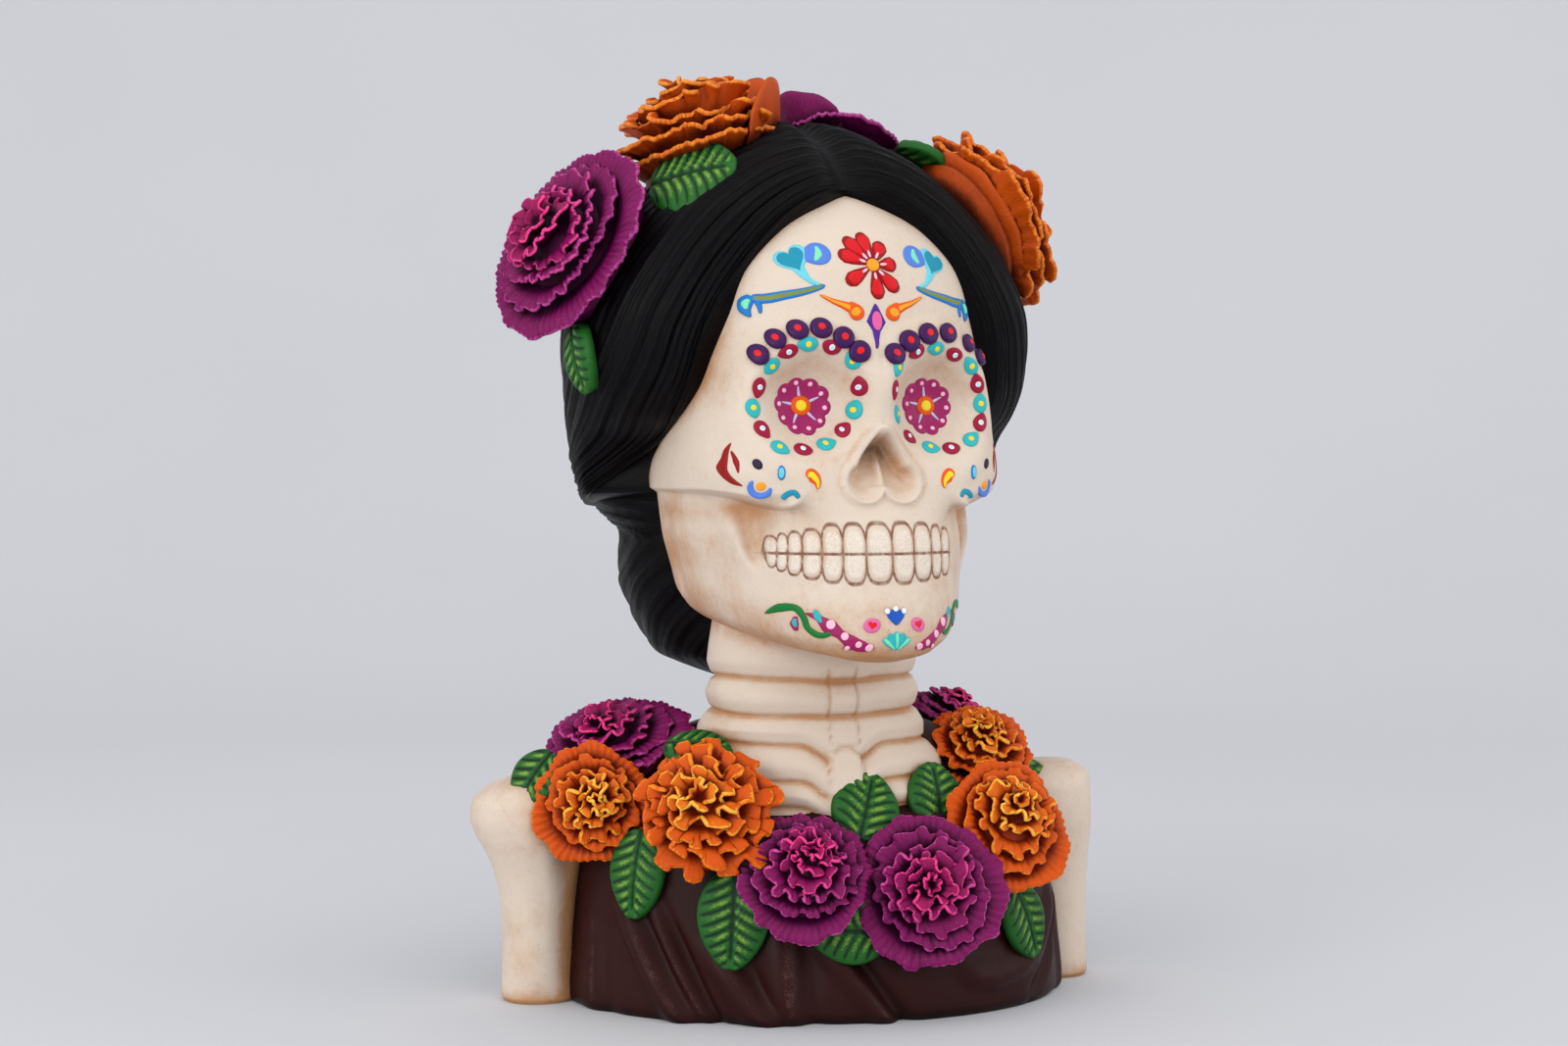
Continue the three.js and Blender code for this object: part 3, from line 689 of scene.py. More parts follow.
def tooth_edge(x, z):
    """Signed mm to the outline of the nearest tooth: a rounded arch above the bite and one below it."""
    k = np.clip(np.searchsorted(TEETH_EDGES, x) - 1, 0, len(TEETH_UP) - 1)
    middle = (TEETH_EDGES[k] + TEETH_EDGES[k + 1]) / 2
    half = (TEETH_EDGES[k + 1] - TEETH_EDGES[k]) / 2
    reach = np.where(z > TEETH_BITE, TEETH_UP[k], TEETH_DOWN[k])
    u, v = np.abs(x - middle) / half, np.abs(z - TEETH_BITE) / reach
    size = (np.maximum(u, 1e-6) ** 3.2 + np.maximum(v, 1e-6) ** 3.2) ** (1 / 3.2)
    return (1 - size) * np.minimum(np.hypot(half * u, reach * v) / np.maximum(size, 0.2), 5.0)


def in_row(x):
    """1 along the row of teeth, falling to 0 over the last millimetre at its two ends."""
    first, last = TEETH_EDGES[0], TEETH_EDGES[-1]
    return smooth(first - 0.5, first + 0.5, x) * smooth(last + 0.5, last - 0.5, x)


def face_relief(x, z):
    """Height of the face: sockets, brows, the bridge, the nose opening with its rim and septum, and teeth."""
    side = np.abs(x)
    eye = np.hypot(side - EYE_X, z - EYE_Z) / EYE_RADIUS
    h = -EYE_DEPTH * (1 - smooth(0.2, 1.14, eye))
    h = h + 2 * bump((eye - 1.2) / 0.5) * smooth(EYE_Z - 6, EYE_Z + 10, z)
    h = h + 0.8 * bump((eye - 1.25) / 0.3) * smooth(EYE_X, EYE_X + 12, side)
    h = h + 4 * bump(side / 10) * smooth(NOSE_TOP - 14, NOSE_TOP, z) * smooth(204, 180, z)
    into = nose_depth_in(x, z)
    floor = 0.3 + 0.7 * smooth(152, 167, z)
    septum = np.exp(-np.square(x / 1.5)) * smooth(168, 157, z)
    wall = mix(3.6, 1.7, smooth(154, 165, z))
    h = h - NOSE_DEPTH * smooth(1.2, 1.2 + wall, into) * floor * (1 - 0.75 * septum)
    h = h + 1.25 * np.exp(-np.square((into - 0.5) / 0.8))
    bulge = bump((z - TEETH_BITE) / 11) * smooth(33, 27, side)
    inside = tooth_edge(x, z)
    h = h + 0.8 * bulge + 0.45 * smooth(0.0, 1.3, inside) * in_row(x)
    h = h - 0.25 * np.exp(-np.square(inside / 0.3)) * in_row(x)
    return h - 0.35 * np.exp(-np.square((z - TEETH_BITE) / 0.4)) * in_row(x)


def front_share(x, half_width, power):
    """The share of its reach that the front has at x, by the superellipse of the plan."""
    return np.maximum(0.0, 1 - np.minimum(np.abs(x) / half_width, 1.0) ** power) ** (1 / power)


def skull_front(x, z):
    """The y of the face over x and z, before the underside of the chin is tilted."""
    row = skull_plan(np.abs(x), z)
    share = front_share(x, row[..., 0], row[..., 3])
    y = SKULL_MIDDLE + (row[..., 1] - SKULL_MIDDLE) * share
    return y - face_relief(x, z) * smooth(0.12, 0.6, share)


def chin_rise(y, z):
    """How far the underside of the jaw climbs towards the throat."""
    return CHIN_TILT * (y - CHIN_FRONT) * smooth(128, 107, z) * smooth(CHIN_FRONT, -50, y)


def on_face(x, z, lift=0.0):
    """Points of the finished face over x and z, lifted along the face's own normal.

    Four rounds find the level that the tilted chin carries to z. The slopes are taken over a step to each
    side.
    """
    x, z = np.asarray(x, float), np.asarray(z, float)

    def depth(x, z):
        level = z
        for _ in range(4):
            level = z - chin_rise(skull_front(x, level), level)
        return skull_front(x, level)

    y = depth(x, z)
    step = 0.4
    slope_x = (depth(x + step, z) - depth(x - step, z)) / (2 * step)
    slope_z = (depth(x, z + step) - depth(x, z - step)) / (2 * step)
    normal = unit(np.stack([slope_x, -np.ones_like(y), slope_z], -1))
    return np.stack([x, y, z], -1) + normal * np.asarray(lift, float)[..., None]


def skull_marks(side, x, y, z, hollow, temple, below):
    """The wash, the dark deep in the nose, the mouth, the tooth outlines and the bite over the front of the skull.

    side is the distance from the middle before the face is drawn in, and x the place after. hollow, temple
    and below are 1 in the cheek's hollow, at the temple and under the ledge. Past the last teeth the bite's
    distance grows with the distance along, which ends its line.
    """
    into = nose_depth_in(x, z)
    eye = np.hypot(side - EYE_X, z - EYE_Z)
    # Brown wash on the jaw, deeper in the hollow under the cheekbone and under its ledge, where it also paints
    # their shade, and darker towards the jaw's underside.
    jaw = (
        0.4 * hollow + 0.24 * bump((z - 147.5) / 4.5) * smooth(26, 34, side) * below
        + 0.12 * bump((side - 42) / 9) * bump((z - 138) / 12) * below + 0.2 * smooth(-20, -6, y) * below
        + 0.1 * bump((z - TEETH_BITE) / 14) * smooth(34, 20, side) + 0.14 * smooth(152, 138, z)
        + 0.28 * smooth(128, 110, z) + 0.3 * smooth(112, 106, z))
    nose = 0.08 * smooth(1.5, 4, into) + 0.2 * bump((into + 1.2) / 1.2) + 0.06 * bump((into - 2.4) / 1.0)
    # Brown wash in the sockets, darker towards their top, which paints the shade under the brows.
    socket = (0.14 + 0.2 * smooth(176, 188, z)) * bump((eye - 11) / 6) + 0.12 * bump((eye - 16.5) / 2)
    past = np.maximum(np.maximum(TEETH_EDGES[0] + 0.5 - x, x - TEETH_EDGES[-1] + 0.4), 0)
    return {
        "wash": jaw + nose + socket + 0.3 * temple,
        # Darker deep in the top of the nose opening.
        "nose_dark": smooth(159, 168, z) * smooth(2.0, 4.4, into),
        "mouth": smooth(-32, -31, x) * smooth(23.6, 22.6, x) * smooth(22, 18, np.abs(z - TEETH_BITE)),
        "tooth": tooth_edge(x, z),
        "bite": z - TEETH_BITE + np.where(z > TEETH_BITE, 1, -1) * past}


def make_skull():
    """Level rings: a front sampled evenly round its curve, with the face's relief, and a plain back."""
    heights = np.concatenate([
        np.arange(105, 124, 0.6), np.arange(124, 147, 0.36), np.arange(147, 154, 0.3),
        np.arange(154, 174, 0.42), np.arange(174, 208, 0.62), np.arange(208, 246.1, 1.6)])
    chord = np.sin(np.radians(np.linspace(-90, 90, 271)))[None, :]
    z = heights[:, None] + 0 * chord
    row = skull_plan(SKULL_HALF_WIDTH * np.abs(chord) + 0 * z, z)
    half_width, front, back, power = (row[..., k] for k in range(4))
    share = front_share(chord, 1.0, power)
    x = half_width * chord
    y = SKULL_MIDDLE + (front - SKULL_MIDDLE) * share - face_relief(x, z) * smooth(0.12, 0.6, share)
    side = np.abs(x)
    below = 1 - ledge(side, z)
    hollow = cheek_hollow(side, z)
    ridge = bump((side - 36.0 - 0.2 * (z - 140)) / 3.0) * bump((z - 140) / 13) * below
    ramus = bump((z - 133) / 22) * smooth(-8, 2, y)
    y = y + (CHEEK_HOLLOW * hollow - 0.9 * ridge) * smooth(20, 26, side)
    drawn_in = (0.3 * CHEEK_HOLLOW * hollow - 0.5 * ridge + 2.2 * ramus) * smooth(20, 28, side)
    temple = bump((z - 190) / 26) * bump((y + 30) / 22)
    x = x - np.sign(x) * drawn_in - np.sign(x) * 1.6 * temple
    marks = skull_marks(side, x, y, z, hollow, temple, below)
    face = np.stack([x, y, z + chin_rise(y, z)], -1)
    around = np.radians(np.linspace(90, 270, 26)[1:-1])[None, :]
    rear_x = half_width[:, :1] * np.sin(around)
    rear_y = SKULL_MIDDLE - (back[:, :1] - SKULL_MIDDLE) * np.cos(around)
    rear_z = z[:, :1] + chin_rise(np.full_like(rear_x, SKULL_MIDDLE), z[:, :1] + 0 * rear_x)
    rings = np.concatenate([face, np.stack([rear_x, rear_y, rear_z], -1)], axis=1)
    behind = {mark: np.full(rear_x.shape, 0.3 if mark == "wash" else 0.0) for mark in marks}
    marks = {mark: np.concatenate([value, behind[mark]], axis=1) for mark, value in marks.items()}
    add_piece("skull", [ring_solid(rings, **marks)], bone_finish)


# Hair

# The hair on the head. By height: half width, front y, back y and power of the plan's front. Its back has
# its own.
HAIR_BODY = [
    [138, 50, 16, 74, 2.2], [146, 60, 10, 78, 2.3], [152, 65, 6, 80, 2.4], [160, 67.5, 1, 81, 2.4],
    [168, 68.5, -10, 79, 2.5], [176, 69.5, -27, 79, 2.8], [184, 70.5, -35, 79, 2.9],
    [193, 71, -39, 78, 2.9], [204, 70.5, -42, 77, 2.8], [219, 66, -43.5, 74, 2.5],
    [232, 57, -42, 67, 2.4], [241, 49, -37.5, 61, 2.3], [252, 36, -26, 50, 2.2], [261, 21, -10, 37, 2],
    [266, 5, 5, 24, 2],
]
HAIR_CENTRE = np.array([0.0, 14.0, 190.0])
HAIR_BACK_POWER = 1.9
# The strand beside the face, and the one down the back, both from the parting to the gather at the nape.
FACE_STRAND = [
    [0, -34, 242], [-9, -35, 235.5], [-20, -35.5, 228], [-28.5, -35, 219], [-35, -31, 206], [-38.5, -27, 194],
    [-40.5, -23, 184], [-43, -14, 175], [-46, 4, 166], [-50, 22, 158], [-46, 46, 151], [-28, 66, 148], [0, 74, 147],
]
BACK_STRAND = [[0, 36, 256], [0, 62, 234], [0, 78, 205], [0, 79, 175], [0, 74, 147]]
SIDE_GATHER = np.array([-60.0, 30.0, 159.0])
# Locks, strands and fine strands across each half.
LOCKS, STRANDS, FINE_STRANDS = 13, 37, 71
HAIR_COLUMNS, HAIR_ROWS = 301, 131


def hair_reach(direction):
    """Distance from the hair's centre to its surface along each direction, found by halving."""
    low, high = np.full(direction.shape[:-1], 5.0), np.full(direction.shape[:-1], 110.0)
    for _ in range(26):
        r = (low + high) / 2
        p = HAIR_CENTRE + direction * r[..., None]
        row = station(HAIR_BODY, p[..., 2])
        ahead = p[..., 1] < HAIR_CENTRE[1]
        reach = np.where(ahead, HAIR_CENTRE[1] - row[..., 1], row[..., 2] - HAIR_CENTRE[1])
        power = np.where(ahead, row[..., 3], HAIR_BACK_POWER)
        size = np.abs(p[..., 0] / row[..., 0]) ** power
        size = size + np.abs((p[..., 1] - HAIR_CENTRE[1]) / np.maximum(reach, 4)) ** power
        inside = (p[..., 2] < HAIR_BODY[-1][0]) & (p[..., 2] > HAIR_BODY[0][0]) & (size < 1)
        low, high = np.where(inside, r, low), np.where(inside, high, r)
    return low


def strand_lift(across, along):
    """Height of carved strands over the share across: broad locks, narrower strands and fine grooves."""
    sway = across + 0.012 * np.sin(7 * along + 9 * across)
    lock = ridges(LOCKS * (sway + 0.02 * np.sin(2 * math.pi * 3.1 * sway + 0.7)), 0.6)
    strand = ridges(STRANDS * (sway + 0.006 * np.sin(23 * sway)), 0.8)
    fine = ridges(FINE_STRANDS * (sway + 0.004 * np.sin(41 * sway + 5 * along)), 0.9)
    return 1.2 * (lock - 0.7) + 0.78 * (strand - 0.6) + 0.4 * (fine - 0.6)


def doubled(half, mirror=1):
    """Half a grid and its mirror image, joined at the half's last column, which they share."""
    return np.concatenate([half, (half * mirror)[:, -2::-1]], axis=1)


def make_hair():
    """Each half of the hair: directions from the centre that turn from one strand to the next, carried out.

    The two strands are the one beside the face and the one down the back. The halves share their first and
    last rows of points and the strand down the back, and a strip of cells between their face strands closes
    the body.
    """
    across = np.linspace(0, 1, HAIR_COLUMNS)[None, :]
    along = (np.linspace(0, 1, HAIR_ROWS) ** 1.25)[:, None]
    start = unit(along_path(FACE_STRAND, along[:, 0]) - HAIR_CENTRE)[:, None]
    end = unit(along_path(BACK_STRAND, along[:, 0]) - HAIR_CENTRE)[:, None]
    gather = unit(SIDE_GATHER - HAIR_CENTRE)
    direction = unit(mix(start, end, (across ** 1.15)[..., None]))
    pull = 0.9 * bump((along - 0.83) / 0.22) * smooth(0.0, 0.12, across) * smooth(1.0, 0.55, across)
    direction = unit(direction + pull[..., None] * gather)
    fade = smooth(0, 0.05, along) * smooth(1, 0.93, along) * smooth(0, 0.004, across)
    lift = strand_lift(across, along) * fade
    near = np.linalg.norm(direction - gather, axis=-1)
    parting = 4.0 * np.exp(-np.square(along / 0.035)) * smooth(0.0, 0.25, across + 0.2)
    valley = parting + 1.6 * bump(near / 0.1)
    edge = (1.2 + 3.2 * smooth(0.3, 0.05, along)) * smooth(0.03, 0.0, across) ** 1.6
    points = HAIR_CENTRE + direction * (hair_reach(direction) + lift - valley - edge)[..., None]
    points[0, :, 0] = 0.0
    points[-1, :, 0] = 0.0
    points[:, -1, 0] = 0.0
    length = np.cumsum(np.linalg.norm(np.diff(points, axis=0, prepend=points[:1]), axis=-1), axis=0)
    flat = np.stack([across * 9.0 + 0 * length, length / 10], -1)
    # The mark lift: a painted highlight where a strand stands high, painted shade in the grooves and the parting.
    shine = np.clip(0.5 + 0.42 * lift - 0.2 * valley, 0, 1)
    both = doubled(points, [-1, 1, 1])
    number = numbered(*both.shape[:2])
    number[[0, -1]] = doubled(number[[0, -1], :HAIR_COLUMNS])
    under = np.stack([number[:, -1], number[:, 0]], -1)
    marks = {"lift": listed(doubled(shine)), "strand": listed(doubled(flat))}
    cap = (listed(both), [cells(number), cells(under)], marks)
    add_piece("hair", [cap], hair_finish)


# By height: half width, front y, back y and power of the plan of the hair gathered at the nape.
NAPE = [
    [93, 13, 18, 34, 2], [97, 24, 14, 48, 2], [102, 35, 10, 66, 2], [108, 39, 8, 74, 2.1],
    [116, 43, 6, 79, 2.1], [126, 46, 4, 81, 2.2], [134, 46, 3, 79, 2.2], [139, 46, 3, 77, 2.2],
    [145, 52, 2, 78, 2.1], [152, 58, 3, 76, 2], [163, 56, 8, 70, 2],
]
NAPE_MIDDLE = 34.0
# For locks, strands and fine strands: mm from one to the next, and the power of their ridges.
NAPE_RIDGES = ((11.0, 0.6), (3.7, 0.8), (1.7, 0.9))


def make_nape_hair():
    """Rings of hair at the nape with strands that lie level above and sweep down to the front below."""
    z = np.linspace(NAPE[0][0], NAPE[-1][0], 101)[:, None]
    angle = np.linspace(0, 2 * math.pi, 240, endpoint=False)[None, :]
    row = station(NAPE, z)
    x, y = ring_points(angle, row[..., 0], row[..., 1], row[..., 2], NAPE_MIDDLE, row[..., 3])
    side = np.abs(np.where(angle > math.pi, angle - 2 * math.pi, angle))
    lie = smooth(150, 136, z)
    course = z + lie * side * 26 + (1 - lie) * 9 * np.square(side - 1.1)
    lock, strand, fine = (ridges(course / pitch, power) for pitch, power in NAPE_RIDGES)
    lift = (1.2 * (lock - 0.7) + 0.55 * (strand - 0.6) + 0.22 * (fine - 0.6)) * smooth(93, 100, z)
    x, y = pushed(x, y, angle, lift)
    flat = np.stack([course / 4.0, side * 4 + 0 * course], -1)
    # The mark lift: a painted highlight where a strand stands high, painted shade in the grooves.
    shine = np.clip(0.5 + 0.4 * lift, 0, 1)
    add_piece("nape_hair", [ring_solid(stacked(x, y, z), lift=shine, strand=flat)], hair_finish)


# Neck and chest

# By height: half width, front y, back y.
CHEST = [
    [30, 62, -34, 30], [52, 58, -38, 32], [62, 50, -37.5, 30], [70, 43, -35, 27], [77, 37.5, -32.5, 23],
    [84, 34, -31, 21], [92, 32.5, -30.5, 20.5], [101, 32, -30, 20.5], [118, 29.5, -30, 20],
]
NECK_MIDDLE = -5.0
# The grooves between the bones: height at the front, how far each dips at the middle, and its depth.
NECK_GROOVES = [[97.8, -0.6, 1.4], [87.2, -0.4, 1.4], [78.6, -4.0, 1.3], [68.4, -4.5, 1.2], [61.0, -4.5, 0.9]]
# Half the width of the strip of blocks down the neck and of the breastbone, and the height of its rounded
# top.
STRIP_HALF, STERNUM_HALF, STERNUM_TOP = 4.4, 5.2, 78.0


def make_neck():
    """Rings with rounded bones between grooves, which frame square blocks in front and dip into a V below."""
    z = np.linspace(34, 118, 140)[:, None]
    angle = np.linspace(-math.pi, math.pi, 170, endpoint=False)[None, :]
    angle = angle - 0.35 * np.sin(angle)
    row = station(CHEST, z)
    x, y = ring_points(angle, row[..., 0], row[..., 1], row[..., 2], NECK_MIDDLE, 2.1)
    front = np.maximum(0, np.cos(angle))
    ahead = front > 0.5
    chest_turn = -BODY_TURN * smooth(90, 56, z)
    side = np.abs(x - 35.0 * np.sin(np.radians(chest_turn)))
    inner = np.exp(-np.square(np.maximum(side - 5, 0) / 5)) * front
    groove, gap = np.zeros_like(x), np.full_like(x, 30.0)
    for height, dip, depth in NECK_GROOVES:
        line = height + dip * inner + 0.8 * np.sin(angle * 2 + height) * (1 - front)
        off = np.abs(z - line) + (4 * smooth(5.4, 4.4, side) * ahead if dip < -1 else 0)
        groove = groove + depth * np.exp(-np.square(off / 0.7))
        gap = np.minimum(gap, off)
    swell = 1.5 * smooth(0, 5.0, gap) - 1.0
    tall = smooth(104, 100, z) * ahead * smooth(78.0, 79.6, z)
    post = np.exp(-np.square((side - STRIP_HALF) / 0.5)) * tall
    round_top = np.where(z > STERNUM_TOP - STERNUM_HALF, np.hypot(side, z - STERNUM_TOP + STERNUM_HALF), side)
    ring = np.exp(-np.square((round_top - STERNUM_HALF) / 0.6))
    ring = ring * smooth(64, 70, z) * smooth(78.6, 78, z) * ahead
    bone = smooth(STERNUM_HALF, STERNUM_HALF - 0.8, round_top) * smooth(62, 69, z) * ahead * (z < 79)
    block = smooth(STRIP_HALF + 0.2, STRIP_HALF - 0.6, side) * tall + bone
    out = swell - groove - 0.7 * post - 0.8 * ring + 0.6 * block * smooth(0.7, 1.6, gap)
    x, y = pushed(x, y, angle, out)
    x, y = turned(x, y, BODY, -chest_turn)
    drawn = np.maximum(np.exp(-np.square(gap / 0.55)), 0.55 * np.maximum(post, ring))
    wash = 0.42 * drawn + 0.2 * np.exp(-np.square(gap / 1.8)) + 0.3 * smooth(104, 112, z)
    add_piece("neck", [ring_solid(stacked(x, y, z), wash=wash)], bone_finish)


# Arms

# By height: half width and half depth of an arm bone, and how far it leans outwards on the left and on the
# right.
BONE_SHAPE = [
    [0, 10.2, 9.6, 0, 0], [1.5, 11.2, 10.6, 0, 0], [18, 10.9, 11, 0, 0], [29, 11.5, 11.4, 0, -0.4],
    [38, 12.9, 12.6, 0.4, -1.4], [45, 15.0, 14.2, 1.2, -3.0], [50, 17.0, 15.4, 2.0, -4.8],
    [55, 17.8, 16, 2.6, -5.8], [60, 17.4, 15.6, 2.5, -5.6], [64, 14.6, 13, 1.6, -3.2],
    [67.6, 7.4, 7, 0, -1],
]
# On each side: the middle of the shaft in plan, the angle of the hollow down it, and the lean's column.
ARMS = {-1: ((-79.3, 18.7), 0.55, 2), 1: ((82.2, -2.9), 5.6, 3)}
ARM_TURN = -8.0


def make_arms():
    """Two short bones: rounded rings that swell to a knob at the top, with a shallow hollow down the
    shaft."""
    z = np.concatenate([np.linspace(0, 2, 8), np.linspace(2.6, 67.6, 90)])[:, None]
    angle = np.linspace(0, 2 * math.pi, 88, endpoint=False)[None, :]
    row = station(BONE_SHAPE, z)
    parts = []
    for side, (at, hollow, lean) in ARMS.items():
        x, y = ring_points(angle, row[..., 0], -row[..., 1], row[..., 1], 0.0, 2.2)
        inner = np.cos(angle - side * -1.1)
        groove = bump((angle - hollow) / 0.5)
        dent = 1.3 * bump((z - 47) / 15) * groove + 0.5 * bump((z - 24) / 30) * groove
        facet = 0.35 * np.cos(3 * angle + 0.6) * smooth(2, 8, z) * smooth(60, 40, z)
        x, y = pushed(x, y, angle, facet - dent)
        x, y = turned(x + at[0] + side * row[..., lean], y + at[1], at, ARM_TURN)
        wash = 0.3 * smooth(5, 0, z) + 0.22 * bump((z - 46) / 16) * groove + 0.4 * smooth(0.6, 1.0, inner)
        wash = wash * smooth(0.0, 0.25, 1.1 - z / 70) + 0.12
        parts.append(ring_solid(stacked(x, y, z), wash=wash))
    add_piece("arms", parts, bone_finish)


# Dress

# By height: half width, front reach and back reach as shares of the dress's own.
GOWN = [
    [0, 0.985, 0.985, 0.985], [1.2, 1.0, 1.0, 1.0], [3, 1.005, 1.01, 1.01], [20, 0.985, 0.97, 0.98],
    [40, 0.96, 0.92, 0.94], [52, 0.94, 0.88, 0.9], [58, 0.88, 0.82, 0.86], [62, 0.82, 0.66, 0.84],
    [70, 0.74, 0.42, 0.8], [78, 0.62, 0.3, 0.7], [84, 0.4, 0.15, 0.45],
]
DRESS_HALF, DRESS_FRONT, DRESS_BACK = 76.0, 53.0, 42.0
# Folds that climb: lowest z, highest z, angle in degrees at each, half width in mm, height, and depth of the
# crease on the side towards +X.
FOLDS = [
    [0, 33, -33.0, -52.5, 7.5, 3.2, 2.4], [0, 33, -27.5, -43.0, 5.2, 2.6, 2.3],
    [0, 22, -14.5, -26.0, 8.0, 3.0, 1.5], [0, 30, -9.0, -10.5, 9.0, 3.2, 2.0],
    [0, 24, 12.0, -1.5, 7.0, 2.2, 2.8], [0, 34, -62.0, -66.0, 9.0, 1.2, 0.8],
    [0, 42, 82.0, 80.0, 5.0, 1.6, 1.4], [0, 44, 100.0, 94.0, 7.0, 1.6, 1.0],
    [0, 46, -112.0, -104.0, 8.0, 1.5, 0.9],
]
# Folds that sweep round the right: angle in degrees and z along each, half width in mm, height.
SWEEPS = [
    [[27, 33, 40, 51, 62, 70, 80], [15.5, 11.5, 10.2, 12, 17.5, 26, 36], 5.0, 2.2],
    [[52, 60, 73, 79, 86], [1.0, 5.5, 15.0, 29, 42], 3.5, -2.0],
]
BACK_FOLDS, BACK_FOLD_HEIGHT = 9, 1.6


def make_dress():
    """Rings with folds, each a hill across its line with a crease beside it, on an oval skirt."""
    z = np.concatenate([np.linspace(0, 3, 8), np.linspace(3.6, 58, 84), np.linspace(60, 84, 12)])[:, None]
    angle = np.linspace(-math.pi, math.pi, 350, endpoint=False)[None, :]
    angle = angle - 0.3 * np.sin(angle)
    row = station(GOWN, z)
    x, y = ring_points(
        angle, DRESS_HALF * row[..., 0], -DRESS_FRONT * row[..., 1], DRESS_BACK * row[..., 2], 0.0, 2.05)
    degrees = np.degrees(angle)
    # ridge: where a painted highlight runs along the crests of the folds.
    out, ridge = np.zeros_like(x), np.zeros_like(x)
    millimetres = math.radians(1) * np.hypot(DRESS_HALF * np.cos(angle), DRESS_FRONT * np.sin(angle))
    for low, high, foot, top, half, height, crease in FOLDS:
        share = (z - low) / (high - low)
        fade = smooth(1.2, 0.6, share)
        off = (degrees - mix(foot, top, np.minimum(share, 1.2))) * millimetres
        beside = off - 0.75 * half
        out = out + fade * (height * bump(off / half) - crease * np.exp(-np.square(beside / (0.42 * half))))
        ridge = ridge + fade * np.exp(-np.square((off - 0.15 * half) / 1.6)) * smooth(0.0, 0.12, share)
    for turns, heights, half, height in SWEEPS:
        line = np.interp(degrees, turns, heights)
        fade = smooth(turns[0], turns[0] + 8, degrees) * smooth(turns[-1], turns[-1] - 10, degrees)
        off = (z - line) / half
        out = out + height * fade * np.where(off > 0, bump(off / 1.6), bump(off))
        ridge = ridge + 0.5 * fade * np.exp(-np.square((z - line) / 1.1)) * (height > 0)
    ridge = ridge + 0.55 * bump((degrees + 8) / 9) * bump((z - 15) / 14)
    rear = smooth(100, 130, np.abs(degrees))
    wave = np.cos(BACK_FOLDS * 2 * (angle - z * 0.006))
    out = out + BACK_FOLD_HEIGHT * rear * wave * smooth(60, 20, z)
    x, y = pushed(x + BODY[0], y + BODY[1], angle, out)
    x, y = turned(x, y, BODY, BODY_TURN)
    ridge = np.clip(ridge + 0.35 * rear * smooth(0.6, 1, wave), 0, 1)
    add_piece("dress", [ring_solid(stacked(x, y, z), ridge=ridge)], dress_finish)


make_skull()
make_hair()
make_nape_hair()
make_neck()
make_arms()
make_dress()


# Flowers and leaves

def facing(at, azimuth, elevation, roll=0.0):
    """A seat: its place, and its right, up and outward ways as rows, rolled by degrees about outward."""
    a, e, turn = math.radians(azimuth), math.radians(elevation), math.radians(roll)
    right = np.array([math.cos(a), math.sin(a), 0.0])
    out = np.array([math.sin(a) * math.cos(e), -math.cos(a) * math.cos(e), math.sin(e)])
    up = np.cross(out, right)
    across = right * math.cos(turn) + up * math.sin(turn)
    return np.array(at, float), np.stack([across, up * math.cos(turn) - right * math.sin(turn), out])


def put(part, seat):
    """A body modelled round its own origin, set into a seat made by facing."""
    points, faces, marks = part
    at, ways = seat
    return at + points @ ways, faces, marks


# The frills of each kind of flower, from the outside to the heart. Rim radius, rim height, root radius and
# root height are shares of the flower's. Then come the ruffles in a turn, their depth in mm and how far
# they loop; the lobes in a turn and their depth as a share; the ribs in a turn and their height in mm; how
# far the rim turns down and the thickness, both in mm; and how late the wall spreads: under 1 for a cup, 1
# for a cone, and over 1 for a wall that flares at its rim.
CARNATION = [
    [1.00, 0.10, 0.62, -0.04, 12, 0.75, 0.0, 3, 0.045, 54, 0.38, 1.0, 1.5, 1.0],
    [0.76, 0.26, 0.46, 0.10, 15, 0.95, 0.3, 2, 0.08, 42, 0.34, 0.4, 1.3, 1.0],
    [0.59, 0.44, 0.34, 0.25, 14, 1.25, 0.5, 3, 0.10, 26, 0.18, 0.1, 1.2, 1.1],
    [0.43, 0.58, 0.22, 0.38, 10, 1.45, 0.6, 2, 0.13, 0, 0.0, 0.0, 1.1, 1.4],
    [0.28, 0.69, 0.12, 0.49, 7, 1.45, 0.7, 3, 0.16, 0, 0.0, 0.0, 1.0, 1.5],
    [0.12, 0.76, 0.04, 0.57, 4, 0.90, 0.5, 2, 0.20, 0, 0.0, 0.0, 1.0, 1.5],
]
TEMPLE = [
    [1.00, 0.12, 0.64, -0.02, 15, 0.70, 0.0, 3, 0.04, 76, 0.42, 1.0, 1.6, 1.0],
    [0.76, 0.27, 0.50, 0.10, 21, 0.85, 0.2, 2, 0.07, 60, 0.42, 0.5, 1.4, 1.0],
    [0.61, 0.40, 0.38, 0.22, 19, 1.05, 0.4, 3, 0.09, 44, 0.34, 0.2, 1.3, 1.1],
    [0.47, 0.52, 0.28, 0.34, 15, 1.20, 0.6, 2, 0.11, 30, 0.2, 0.0, 1.2, 1.3],
    [0.34, 0.66, 0.18, 0.47, 10, 1.50, 0.7, 3, 0.14, 0, 0.0, 0.0, 1.1, 1.5],
    [0.19, 0.74, 0.07, 0.56, 6, 1.30, 0.6, 2, 0.20, 0, 0.0, 0.0, 1.1, 1.5],
]
